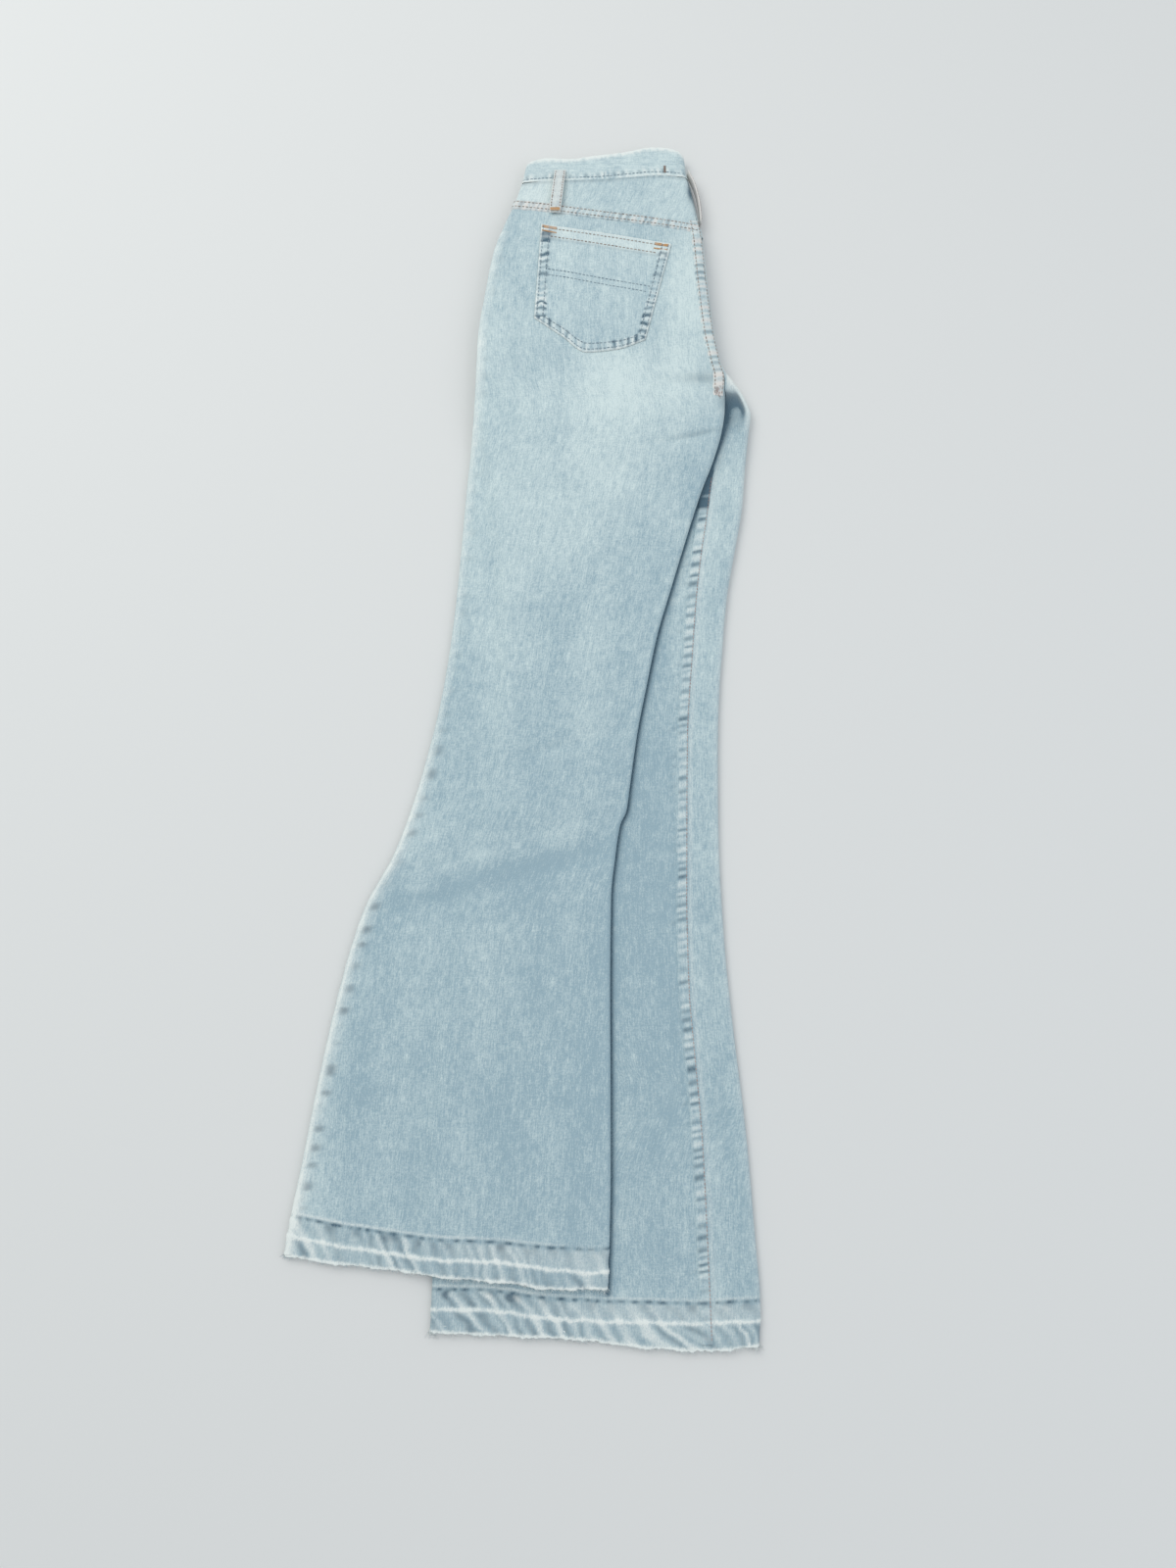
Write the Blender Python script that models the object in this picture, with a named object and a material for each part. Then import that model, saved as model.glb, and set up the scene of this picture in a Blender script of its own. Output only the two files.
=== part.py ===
"""A pair of flared denim jeans, folded in half down the centre back and laid flat.

The left leg lies on top of the right one with its back panel up, and the waist points along +Y.
Every size below is in millimetres. `down` is the distance from the highest point of the
waistband towards the hems, and x runs to the right across the folded garment.
"""

import math

import bmesh
import bpy
import numpy as np

mm = 0.001  # the scene is in metres

# Driving dimensions.
clothWall = 1.3  # denim and its folds, as one wall
seamGap = 0.3  # between pieces that meet or lie on each other
sideGap = 0.35  # between a wall's end and the hidden layers beside it
hemStart = 1001.0  # where the let-down hem bands begin
seatDown = 165.0  # mid-seat, where lines across the garment are measured
crotchDown = 264.0
bandThick, bandAir = 2.7, 1.0  # the waistband's wall and the air between its four layers
loopWide, loopThick, loopBow = 11.0, 1.7, 3.2
pocketThick, pocketHemRise, pocketHemWide = 1.1, 0.6, 10.0
fellWide, fellThick = 9.5, 0.9  # a flat-felled seam
crownRise = 1.4  # how much the top leg stands up in its middle
drapeReach = 23.0  # how wide the top leg takes to come down over the leg below it
pieceShift = None  # set once everything is built, so that the garment is centred

# Outlines. Each row holds a distance down and the edge's x there.
topOutseam = (
    (0, -10), (20, -12), (36, -15), (63, -23), (87, -32), (120, -42), (155, -48), (207, -55), (273, -57),
    (361, -64), (464, -71), (548, -81), (627, -98), (696, -120), (746, -145), (797, -160),
    (881, -177), (960, -190), (1028, -201), (1060, -203),
)
topInnerEdge = (
    (0, 143), (23, 145), (40, 149), (67, 154), (103, 160), (151, 164), (207, 170), (235, 176), (250, 180),
    (265, 178), (282, 177), (302, 174), (330, 166), (362, 154), (418, 136), (458, 124), (499, 112),
    (550, 101), (590, 93), (639, 86), (660, 83), (674, 77), (700, 73), (738, 69), (839, 68), (961, 68),
    (1014, 67), (1060, 65),
)
lowerInnerEdge = (
    (0, 143), (23, 145), (40, 149), (67, 154), (103, 160), (151, 164), (207, 170), (235, 176), (250, 186),
    (265, 196), (282, 202), (299, 200), (334, 196), (376, 192), (414, 185), (463, 176), (511, 171),
    (557, 167), (603, 165), (693, 164), (774, 167), (849, 173), (938, 182), (1029, 188), (1063, 190),
    (1104, 189),
)
lowerOutseam = (
    (0, -9), (20, -11), (63, -20), (120, -38), (207, -50), (273, -46), (361, -30), (464, -20), (548, -18),
    (627, -26), (696, -38), (746, -48), (797, -56), (881, -66), (960, -73), (1050, -79), (1104, -80),
)
# The right leg's inseam, which the wider back panel brings round to the front.
inseamLine = (
    (260, 180), (302, 174.5), (330, 169), (348, 165), (385, 160), (416, 155), (464, 149), (511, 145),
    (593, 139), (683, 137), (754, 136), (818, 137), (860, 140), (941, 146), (1028, 149), (1104, 151),
)
# The height of one flattened leg.
tubeHeight = (
    (0, 6.6), (40, 6.7), (90, 8.4), (150, 9.2), (250, 9.6), (300, 9.6), (361, 8.0), (464, 7.0), (627, 6.2),
    (881, 5.6), (1104, 5.3),
)
# The crotch, where one folded seat becomes two legs. Radii are shares of tubeHeight, and angles are
# degrees above the horizontal at which the top wall ends and the lower wall's round begins.
crotchRolls = (
    # down, top radius, top end, lower radius, lower start
    (235, 1.00, 50, 1.00, 20),
    (250, 0.88, 50, 0.84, 55),
    (258, 0.78, 46, 0.72, 72),
    (264, 0.70, 20, 0.62, 84),
    (268, 0.62, -15, 0.56, 90),
    (273, 0.52, -60, 0.52, 90),
    (279, 0.50, -90, 0.50, 90),
)
# Soft folds: where each starts and ends, how wide it is and how high (or deep) it stands.
topFolds = (
    # x1, down1, x2, down2, width, height
    (-150, 752, 70, 684, 24, -1.6),  # the bend where the flare begins
    (-120, 700, 72, 640, 26, 1.2),
    (22, 604, 93, 584, 7, -1.0),  # a short crease above the knee
    (132, 256, 172, 253, 8, -1.3),  # creases that pull in to the crotch
    (128, 312, 170, 309, 9, -1.2),
    (120, 284, 176, 282, 12, 1.0),
    (-20, 420, 60, 520, 40, 1.0),
    (-90, 930, 30, 860, 45, -0.8),
    (-140, 860, -60, 980, 30, 0.8),
)
lowerFolds = (
    (176, 276, 196, 322, 7, -2.6),  # the hollow under the crotch
    (105, 500, 128, 720, 22, 0.7),
    (80, 690, 122, 740, 18, -1.0),
)
# Lines across the top leg, by share of its width: the waist seam, the yoke seam and the hems.
waistSeam = ((0, 40), (0.17, 38), (0.44, 37), (0.64, 34), (0.82, 32), (1, 34))
waistTop = ((0, 21), (0.04, 15), (0.14, 12), (0.25, 13), (0.45, 9), (0.63, 5), (0.8, 0), (0.9, 1), (1, 8))
yokeSeam = ((0, 64.5), (0.2, 69.5), (0.3, 72.5), (0.53, 79), (0.75, 85), (1, 93))
topHemRidge = ((0, 1009), (0.08, 1014), (0.22, 1024), (0.4, 1032), (0.6, 1037), (0.82, 1041), (1, 1042))
topHemRaw = ((0, 1031), (0.13, 1036), (0.27, 1040), (0.4, 1044), (0.55, 1048), (0.7, 1051), (0.85, 1056), (1, 1056))
lowerHemRidge = ((0, 1072), (0.17, 1073), (0.35, 1079), (0.6, 1082), (0.8, 1083), (1, 1081))
lowerHemRaw = ((0, 1090), (0.16, 1092), (0.48, 1096), (0.62, 1101), (0.83, 1104), (0.92, 1103), (1, 1100))

# Distances down at which the legs are sectioned, closer where the crotch and the folds are.
stations = (
    120, 160, 200, 235, 243, 250, 258, 264, 268, 273, 279, 293, 312, 334, 362, 395, 430, 464, 505, 548,
    590, 627, 660, 684, 707, 730, 755, 790, 840, 890, 945, 1000.7,
)
yokeShares = (0, 0.35, 0.7, 1)  # rows between the waist seam and the yoke seam
inseamStart = 334  # where the right front panel comes out from under the top leg
waveLength = 13.0  # of the puckers along a seam


def curve(rows, column=1):
    """A smooth line through one column of a table, which doesn't overshoot between rows."""
    x = np.array([row[0] for row in rows], float)
    y = np.array([row[column] for row in rows], float)
    slope = np.diff(y) / np.diff(x)
    tangent = np.zeros(len(x))
    tangent[0], tangent[-1] = slope[0], slope[-1]
    for i in range(1, len(x) - 1):
        if slope[i - 1] * slope[i] > 0:
            tangent[i] = 2 * slope[i - 1] * slope[i] / (slope[i - 1] + slope[i])

    def at(value):
        value = min(max(value, x[0]), x[-1])
        i = min(int(np.searchsorted(x, value, side="right")) - 1, len(x) - 2)
        step = x[i + 1] - x[i]
        t = (value - x[i]) / step
        return float(
            y[i] * (1 + 2 * t) * (1 - t) ** 2
            + tangent[i] * step * t * (1 - t) ** 2
            + y[i + 1] * t * t * (3 - 2 * t)
            - tangent[i + 1] * step * t * t * (1 - t)
        )

    return at


topLeft, topRight = curve(topOutseam), curve(topInnerEdge)
lowLeft, lowRight = curve(lowerOutseam), curve(lowerInnerEdge)
inseamX, tube = curve(inseamLine), curve(tubeHeight)
topRadiusShare, topEndAngle = curve(crotchRolls, 1), curve(crotchRolls, 2)
lowRadiusShare, lowStartAngle = curve(crotchRolls, 3), curve(crotchRolls, 4)
waistSeamAt, waistTopAt, yokeSeamAt = curve(waistSeam), curve(waistTop), curve(yokeSeam)


def smooth(value, low, high):
    """0 below low, 1 above high and an even rise between."""
    t = min(max((value - low) / (high - low), 0), 1)
    return t * t * (3 - 2 * t)


def mix(a, b, share):
    return a + (b - a) * share


def foldsAt(x, down, folds):
    """The height that the soft folds of a table add at one place."""
    total = 0
    for x1, down1, x2, down2, width, height in folds:
        along = np.array([x2 - x1, down2 - down1], float)
        place = np.array([x - x1, down - down1], float)
        length = np.hypot(*along)
        run = place @ along / length
        side = (place[0] * along[1] - place[1] * along[0]) / length
        past = max(-run, run - length, 0) / (0.4 * length)
        total += height * math.exp(-((side / width) ** 2) - past**2)
    return total


def lowerTop(x, down):
    """The upper face of the leg that lies below."""
    inside = smooth(lowRight(down) - x, 2, 12)
    return tube(down) + inside * foldsAt(x, down, lowerFolds)


def under(x, down):
    """The surface that the top leg lies on: the leg below, then the floor."""
    edge = lowLeft(down)
    return (lowerTop(x, down) + seamGap) * smooth(x, edge - drapeReach, edge - 1)


def topFace(x, down):
    """The upper face of the top leg."""
    left, right = topLeft(down), topRight(down)
    share = min(max((x - left) / (right - left), 0), 1)
    inside = smooth(min(share, 1 - share), 0.02, 0.1)
    height = under(x, down) + tube(down) + crownRise * 4 * share * (1 - share) * inside
    return height + inside * foldsAt(x, down, topFolds)


def arc(centre, radius, start, end, steps):
    """Points round a centre in a section, from one angle to another, both in degrees."""
    angles = np.radians(np.linspace(start, end, steps))
    return [(centre[0] + radius * math.cos(a), centre[1] + radius * math.sin(a)) for a in angles]


def topColumns(down):
    """The x of each column across the top leg, closer where it comes down over the leg below."""
    left, right = topLeft(down) + tube(down) / 2, topRight(down) - topRadiusShare(down) * tube(down)
    first = max(lowLeft(down) - drapeReach, left + 3)
    second = max(lowLeft(down), left + 12)
    return [
        *np.linspace(left, first, 4, endpoint=False),
        *np.linspace(first, second, 4, endpoint=False),
        *np.linspace(second, right, 8),
    ]


def topRolls(down):
    """Centre and radius of the rolled edges of the top leg, outseam first."""
    columns = topColumns(down)
    left, right = tube(down) / 2, topRadiusShare(down) * tube(down)
    return (
        (columns[0], topFace(columns[0], down) - left), left,
        (columns[-1], topFace(columns[-1], down) - right), right,
    )


def topPath(down, lift=0.0):
    """The top leg's cloth in section, from under the outseam edge over the top to the inner edge."""
    leftCentre, leftRadius, rightCentre, rightRadius = topRolls(down)
    return [
        *arc(leftCentre, leftRadius + lift, 270, 90, 7),
        *[(x, topFace(x, down) + lift) for x in topColumns(down)[1:-1]],
        *arc(rightCentre, rightRadius + lift, 90, topEndAngle(down), 6),
    ]


def lowerRoll(down):
    radius = lowRadiusShare(down) * tube(down)
    return (lowRight(down) - radius, radius), radius


def seamPoint(down, lift=0.0):
    """Where the right back panel begins: at the seat seam, then at the inseam."""
    _, _, centre, radius = topRolls(down)
    angle = math.radians(topEndAngle(down) - 4)
    facing = mix(angle, math.pi / 2, smooth(down, crotchDown - 6, crotchDown + 7))
    onSeat = (
        centre[0] + radius * math.cos(angle) + lift * math.cos(facing),
        centre[1] + radius * math.sin(angle) + lift * math.sin(facing),
    )
    x = mix(centre[0], inseamX(down), smooth(down, 312, 356))
    onLeg = (x, lowerTop(x, down) + lift)
    share = smooth(down, crotchDown + 6, crotchDown + 15)
    return mix(onSeat[0], onLeg[0], share), mix(onSeat[1], onLeg[1], share)


def rightBackPath(down, lift=0.0):
    """The right back panel in section, from its seam over the inner edge and down to the floor."""
    centre, radius = lowerRoll(down)
    first = seamPoint(down, lift)
    roll = arc(centre, radius + lift, lowStartAngle(down), -90, 8)
    between = []
    for share in (0.33, 0.67):
        x = mix(first[0], roll[0][0], share)
        straight = mix(first[1], roll[0][1], share)
        if down > crotchDown + 6:
            between.append((x, min(straight, lowerTop(x, down) + lift)))
        else:
            between.append((x + 0.2, straight + 0.1))
    return [first, *between, *roll]


def rightFrontPath(down, lift=0.0):
    """The part of the right front panel that shows, from under the top leg to the inseam."""
    _, _, centre, radius = topRolls(down)
    start, end = centre[0], seamPoint(down)[0] - seamGap
    return [(x, lowerTop(x, down) + lift) for x in np.linspace(start, end, 5)]


def hiddenSection(down):
    """The layers between the visible cloth and the floor, in section, anticlockwise."""
    inset = clothWall + seamGap
    leftCentre, leftRadius, rightCentre, rightRadius = topRolls(down)
    rollCentre, rollRadius = lowerRoll(down)
    inner = topPath(down, -inset)
    bottomOfRoll = leftCentre[1] - leftRadius
    # The fold of the right leg under the left one, with a groove between them.
    grooveTop = max(bottomOfRoll, 1.4)
    grooveFloor = grooveTop - 0.5
    footRadius = grooveFloor / 2
    showing = smooth(bottomOfRoll, 2, 4)
    foot = mix(leftCentre[0] + sideGap, lowLeft(down), showing) + footRadius
    grooveEnd = foot + mix(0.3, 6, showing)
    corner = rollCentre[0] - sideGap
    lowerRollPoints = arc(rollCentre, rollRadius - inset, -90, lowStartAngle(down), 6)
    if down > crotchDown + 6:
        riser = inner[-1][0] - sideGap
        step = (riser, lowerTop(riser, down) - inset)
        riserTop = (riser, inner[-1][1])
    else:
        angle = topEndAngle(down)
        step, riserTop = arc(rightCentre, rightRadius - inset - 0.05, angle - 3, angle - 1, 2)
    between = [(x, z - seamGap - 0.1) for x, z in reversed(rightBackPath(down, -clothWall)[:3])]
    start = between[-1]
    if down > crotchDown + 6:
        front = reversed(rightFrontPath(down, -clothWall)[1:])
        between += [(x, z - seamGap - (0.1 if i % 2 else 0.2)) for i, (x, z) in enumerate(front)]
    else:
        for share in (0.2, 0.4, 0.6, 0.8):
            bow = 0.1 * math.sin(math.pi * share)
            between.append((mix(start[0], step[0], share) - bow, mix(start[1], step[1], share)))
    return [
        *[(x, 0) for x in np.linspace(foot, corner, 4)],
        (corner, inset), *lowerRollPoints,
        *between, step, riserTop,
        *reversed(inner),
        (leftCentre[0] + sideGap, bottomOfRoll + inset), (leftCentre[0] + sideGap, grooveTop),
        (grooveEnd, grooveTop - 0.15), (grooveEnd, grooveFloor),
        *arc((foot, footRadius), footRadius, 90, 270, 4)[:-1],
    ]


def middleLine(section):
    """A wall's section squeezed to the line midway between its faces, which closes the wall's end."""
    points = np.array(section)
    middle = (points + points[::-1]) / 2
    half = len(middle) // 2
    line = middle[:half].copy()
    line[0], line[-1] = mix(middle[0], middle[1], 0.3), mix(middle[half - 1], middle[half - 2], 0.3)
    return np.concatenate([line, line[::-1]])


def loft(name, sections, colour, cyclic=False, solid=False):
    """One closed solid through sections of equally many points, each (x, down, height) in millimetres."""
    if not cyclic and not solid:
        sections = [middleLine(sections[0]), *sections, middleLine(sections[-1])]
    rows, around = len(sections), len(sections[0])
    spans = rows if cyclic else rows - 1
    points = np.array(sections, float)
    body = bmesh.new()
    bmesh.ops.create_grid(body, x_segments=around, y_segments=spans, size=1)
    for vertex in body.verts:
        column = round((vertex.co.x + 1) / 2 * around) % around
        row = round((vertex.co.y + 1) / 2 * spans) % rows
        x, down, height = points[row, column]
        vertex.co = (x * mm, -down * mm, height * mm)
    bmesh.ops.remove_doubles(body, verts=body.verts, dist=2e-6)
    rims = [edge for edge in body.edges if edge.is_boundary]
    if rims:
        bmesh.ops.holes_fill(body, edges=rims, sides=0)
    bmesh.ops.recalc_face_normals(body, faces=body.faces)
    return finish(name, body, colour)


def finish(name, body, colour):
    mesh = bpy.data.meshes.new(name)
    body.to_mesh(mesh)
    body.free()
    mesh.shade_smooth()
    mesh.set_sharp_from_angle(angle=math.radians(40))
    thing = bpy.data.objects.new(name, mesh)
    bpy.context.scene.collection.objects.link(thing)
    material = bpy.data.materials.new(name)
    material.use_nodes = True
    shader = material.node_tree.nodes["Principled BSDF"]
    shader.inputs["Base Color"].default_value = (*colour, 1)
    shader.inputs["Roughness"].default_value = 0.9
    shader.inputs["Metallic"].default_value = 0
    mesh.materials.append(material)
    return thing


def wall(outer, inner, down):
    """A closed section of cloth from its outer line and its inner line, at one distance down."""
    return [(x, down, z) for x, z in outer] + [(x, down, z) for x, z in reversed(inner)]


def skewed(section, downAt):
    """A section whose points each have their own distance down, from how far across they lie."""
    points = []
    for i, (x, _) in enumerate(section(seatDown)):
        share = (x - topLeft(seatDown)) / (topRight(seatDown) - topLeft(seatDown))
        down = downAt(min(max(share, 0), 1))
        points.append((section(down)[i][0], down, section(down)[i][1]))
    return points


def skewedWall(path, downAt, lift=0.0, thick=clothWall):
    """As wall, along a line that runs across the garment at a slant."""
    outer = skewed(lambda down: path(down, lift), downAt)
    inner = skewed(lambda down: path(down, lift - thick), downAt)
    return outer + inner[::-1]


def yokeRow(share):
    """A line between the waist seam and the yoke seam, by its share of the way down."""
    return lambda across: mix(waistSeamAt(across) + seamGap, yokeSeamAt(across), share)


def onStations(path):
    """The same path with straight runs between the stations, as the walls have."""

    def at(down, lift=0.0):
        i = min(max(int(np.searchsorted(stations, down, side="right")) - 1, 0), len(stations) - 2)
        if down < stations[0]:
            return path(down, lift)
        share = min((down - stations[i]) / (stations[i + 1] - stations[i]), 1)
        pairs = zip(path(stations[i], lift), path(stations[i + 1], lift))
        return [(mix(a[0], b[0], share), mix(a[1], b[1], share)) for a, b in pairs]

    return at


paleDenim = (0.40, 0.53, 0.62)
fadedDenim = (0.52, 0.63, 0.70)
seamDenim = (0.45, 0.54, 0.61)
hiddenDenim = (0.30, 0.42, 0.52)


def buildHiddenLayers():
    # Both ends are a little hollow, which also keeps their corners off straight lines.
    waistEnd = skewed(hiddenSection, lambda across: waistSeamAt(across) + 6 * seamGap + 2 * (across - 0.5) ** 2)
    head = [waistEnd, *[skewed(hiddenSection, yokeRow(share)) for share in yokeShares[1:]]]
    sections = [[(x, down, z) for x, z in hiddenSection(down)] for down in stations[:-1]]
    last = []
    for i, (x, _) in enumerate(hiddenSection(stations[-1])):
        down = stations[-1] - 2 * seamGap - 3 * (x / 200) ** 2
        last.append((hiddenSection(down)[i][0], down, hiddenSection(down)[i][1]))
    sections.append(last)
    loft("hidden_layers", head + sections, hiddenDenim, solid=True)


def buildLeftBack():
    first = skewedWall(topPath, lambda across: yokeSeamAt(across) + seamGap)
    rest = [wall(topPath(down), topPath(down, -clothWall), down) for down in stations]
    loft("left_back_leg", [first, *rest], paleDenim)
    loft("left_back_yoke", [skewedWall(topPath, yokeRow(share)) for share in yokeShares], fadedDenim)
    rows = []
    for step in (-1, -0.35, 0.35, 1):
        line = lambda across: yokeSeamAt(across) + step * fellWide / 2
        rows.append(skewedWall(topPath, line, lift=seamGap + fellThick, thick=fellThick))
    loft("yoke_seam", [section[2:-2] for section in rows], seamDenim)


def buildRightLeg():
    upper = [yokeSeamAt(1) + seamGap, *stations]
    loft("right_back_leg", [wall(rightBackPath(d), rightBackPath(d, -clothWall), d) for d in upper], paleDenim)
    yoke = [yokeRow(share)(1) for share in yokeShares]
    loft("right_back_yoke", [wall(rightBackPath(d), rightBackPath(d, -clothWall), d) for d in yoke], fadedDenim)
    front = [inseamStart, *[d for d in stations if d > inseamStart + 5]]
    loft("right_front_leg", [wall(rightFrontPath(d), rightFrontPath(d, -clothWall), d) for d in front], paleDenim)


def ringPath(down, lift, rolls, top, bottom, columns):
    """A flattened leg all round in section: over the top, round the inner edge and back below."""
    leftCentre, leftRadius, rightCentre, rightRadius = rolls
    points = [
        *[(x, top(x) + lift) for x in columns],
        *arc(rightCentre, rightRadius + lift, 90, -90, 7)[1:-1],
        *[(x, bottom(x) - min(lift, 0)) for x in columns[::-1]],
        *arc(leftCentre, leftRadius + lift, 270, 90, 7)[1:-1],
    ]
    return [(x, max(z, bottom(x))) for x, z in points]


def hemRing(name, pathAt, shareAt, count, ridge, raw):
    """A let-down hem: a short open tube with the worn line of the old fold standing out on it."""
    ridgeAt, rawAt = curve(ridge), curve(raw)
    sections = []
    for i in range(count):
        share = shareAt(i)
        rope = 0.35 * math.cos(math.pi * i)
        worn, edge = ridgeAt(share), rawAt(share)
        # distance down, and how far the outer face stands out there
        rows = (
            (hemStart, 0), (worn - 17, 0.1), (worn - 15, -0.25), (worn - 8, 0.25 + rope),
            (worn, 0.7), (worn + 6, 0.1 - rope), (edge, 0.2 + rope / 2),
        )
        rows = [row for row in rows if row[0] >= hemStart]
        rows = [(hemStart, 0)] * (7 - len(rows)) + rows
        rows = [(down + 0.4 * k, lift) if down == hemStart else (down, lift) for k, (down, lift) in enumerate(rows)]
        outer = [(pathAt(down, lift)[i], down) for down, lift in rows]
        inner = [(pathAt(down, -clothWall)[i], down) for down, _ in rows]
        sections.append([(x, down, z) for (x, z), down in outer + inner[::-1]])
    loft(name, sections, paleDenim, cyclic=True)


def buildHems():
    def topRing(down, lift):
        left, leftRadius, right, rightRadius = topRolls(down)
        columns = np.linspace(left[0], right[0], hemColumns)
        return ringPath(
            down, lift, (left, leftRadius, right, rightRadius),
            lambda x: topFace(x, down), lambda x: under(x, down), columns,
        )

    def lowerRing(down, lift):
        radius = tube(down) / 2
        left, right = lowLeft(down) + radius, lowRight(down) - radius
        columns = np.linspace(left, right, hemColumns)
        rolls = ((left, radius), radius, (right, radius), radius)
        return ringPath(down, lift, rolls, lambda x: tube(down), lambda x: 0.0, columns)

    hemColumns = 24
    around = 2 * hemColumns + 10

    def shareAt(i):
        if i < hemColumns:
            return i / (hemColumns - 1)
        if i < hemColumns + 5:
            return 1
        if i < 2 * hemColumns + 5:
            return 1 - (i - hemColumns - 5) / (hemColumns - 1)
        return 0

    hemRing("left_leg_hem", topRing, shareAt, around, topHemRidge, topHemRaw)
    hemRing("right_leg_hem", lowerRing, shareAt, around, lowerHemRidge, lowerHemRaw)


def waistLoop():
    """The waistband's middle line in section: four layers, three folds inside and one outside."""
    left, right = topLeft(20), topRight(20)
    pitch = bandThick + bandAir
    heights = [bandThick / 2 + pitch * k for k in range(4)]
    turn = pitch / 2
    outerTurn = (heights[3] - heights[0]) / 2
    leftTurn = left + turn + bandThick / 2
    rightTurn = right - outerTurn - bandThick / 2
    frontTurn = rightTurn - 0.4
    middle = (heights[0] + heights[3]) / 2
    return [
        *[(x, heights[3]) for x in np.linspace(rightTurn, leftTurn, 12)],
        *arc((leftTurn, heights[3] - turn), turn, 90, 270, 7)[1:-1],
        *[(x, heights[2]) for x in np.linspace(leftTurn, frontTurn, 8)],
        *arc((frontTurn, middle), turn, 90, -90, 7)[1:-1],
        *[(x, heights[1]) for x in np.linspace(frontTurn, leftTurn, 8)],
        *arc((leftTurn, heights[1] - turn), turn, 90, 270, 7)[1:-1],
        *[(x, heights[0]) for x in np.linspace(leftTurn, rightTurn, 12)],
        *arc((rightTurn, middle), outerTurn, -90, 90, 9)[1:-1],
    ]


def buildWaistband():
    loop = np.array(waistLoop())
    before, after = np.roll(loop, 1, axis=0), np.roll(loop, -1, axis=0)
    along = after - before
    normal = np.stack([along[:, 1], -along[:, 0]], axis=1) / np.linalg.norm(along, axis=1)[:, None]
    left, right = topLeft(20), topRight(20)
    sections = []
    for (x, z), (nx, nz) in zip(loop, normal):
        share = min(max((x - left) / (right - left), 0), 1)
        high, low = waistTopAt(share), waistSeamAt(share) - seamGap
        half = bandThick / 2
        rows = [mix(high, low, k) for k in (0, 0.12, 0.6, 1)]
        swell = [-0.5, 0, 0, -0.1]  # the top edge is a fold, so it is rounded off
        shift = [mix(topLeft(d) - left, topRight(d) - right, share) for d in rows]
        outer = [(x + e + nx * (half + s), d, z + nz * (half + s)) for d, s, e in zip(rows, swell, shift)]
        inner = [(x + e - nx * (half + s), d, z - nz * (half + s)) for d, s, e in zip(rows, swell, shift)]
        sections.append(outer + inner[::-1])
    loft("waistband", sections, fadedDenim, cyclic=True)


def buildPocket():
    """The back pocket: a five-sided patch whose opening is turned over and stitched."""
    topLeftCorner, topRightCorner = np.array((4, 89)), np.array((129, 111))
    foot = ((0, -2, 190), (0.22, 24, 209), (0.5, 48, 226), (0.75, 76, 223), (1, 103, 213))
    footX, footDown = curve(foot, 1), curve(foot, 2)
    across = np.linspace(0, 1, 12)
    length = 120
    sections = []
    for share in (0, pocketHemWide / length - 0.003, pocketHemWide / length + 0.003, 0.3, 0.5, 0.7, 0.85, 1):
        rise = pocketHemRise if share < pocketHemWide / length else 0
        outer, inner = [], []
        for u in across:
            start = topLeftCorner + (topRightCorner - topLeftCorner) * u
            x = mix(start[0], footX(u), share)
            down = mix(start[1], footDown(u), share)
            base = topFace(x, down) + seamGap + 0.1
            outer.append((x, down, base + pocketThick + rise))
            inner.append((x, down, base))
        sections.append(outer + inner[::-1])
    loft("left_back_pocket", sections, fadedDenim)


def buildLoops():
    """Two belt loops: one flat on the left back and one seen edge-on at the centre back fold."""
    bandTop = 4 * bandThick + 3 * bandAir
    sections = []
    for share in np.linspace(0, 1, 11):
        down = mix(27, 77, share)
        x = mix(22, 17, share)
        carrier = max(bandTop if down < 39 else 0, topFace(x, down) + (fellThick + seamGap if down > 60 else 0))
        bow = loopBow * math.sin(math.pi * share) ** 0.7
        base = max(carrier, bandTop) + seamGap + bow if share < 1 else carrier + seamGap
        half = loopWide / 2
        corners = ((-half, 0), (half, 0), (half, loopThick), (-half, loopThick))
        sections.append([(x + dx, down, base + dz) for dx, dz in corners])
    loft("belt_loop_left_back", sections, fadedDenim)
    sections = []
    for share in np.linspace(0, 1, 11):
        down = mix(25, 82, share)
        bow = loopBow * math.sin(math.pi * share) ** 0.7
        x = topRight(down) + seamGap + 0.2 + bow
        low, high = 2.2, 2.2 + loopWide
        sections.append([(x, down, low), (x + loopThick, down, low), (x + loopThick, down, high), (x, down, high)])
    loft("belt_loop_centre_back", sections, fadedDenim)


def puckered(start, end, pitch):
    """Distances down along a seam, with the rise of the cloth there, from crest to trough."""
    count = int((end - start) / pitch * 2)
    return [(mix(start, end, i / count), 0.45 if i % 2 else 0.0) for i in range(count + 1)]


def buildSeams():
    def seatPath(down, lift):
        _, _, centre, radius = topRolls(down)
        return arc(centre, radius + lift, 88, mix(36, 50, smooth(down, 215, 250)), 5)

    def inseamPath(down, lift):
        right = inseamX(down) - 0.5
        columns = [max(x, topRight(down) + 0.6 + k) for k, x in enumerate(np.linspace(right - fellWide, right, 3))]
        return [(x, lowerTop(x, down) + lift) for x in columns]

    def outseamPath(down, lift):
        centre, radius, _, _ = topRolls(down)
        return arc(centre, radius + lift, 150, 90, 3)

    for name, path, start, end, pitch in (
        ("seat_seam", seatPath, 100, 262, waveLength),
        ("right_inseam", inseamPath, 366, 1000, waveLength),
        ("left_outseam", outseamPath, 98, 1000, waveLength * 1.5),
    ):
        rows = []
        base = seamGap + 0.2
        for down, rise in puckered(start, end, pitch):
            outer = onStations(path)(down, base + fellThick + rise)
            rows.append(wall(outer, onStations(path)(down, base), down))
        loft(name, rows, seamDenim)


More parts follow.
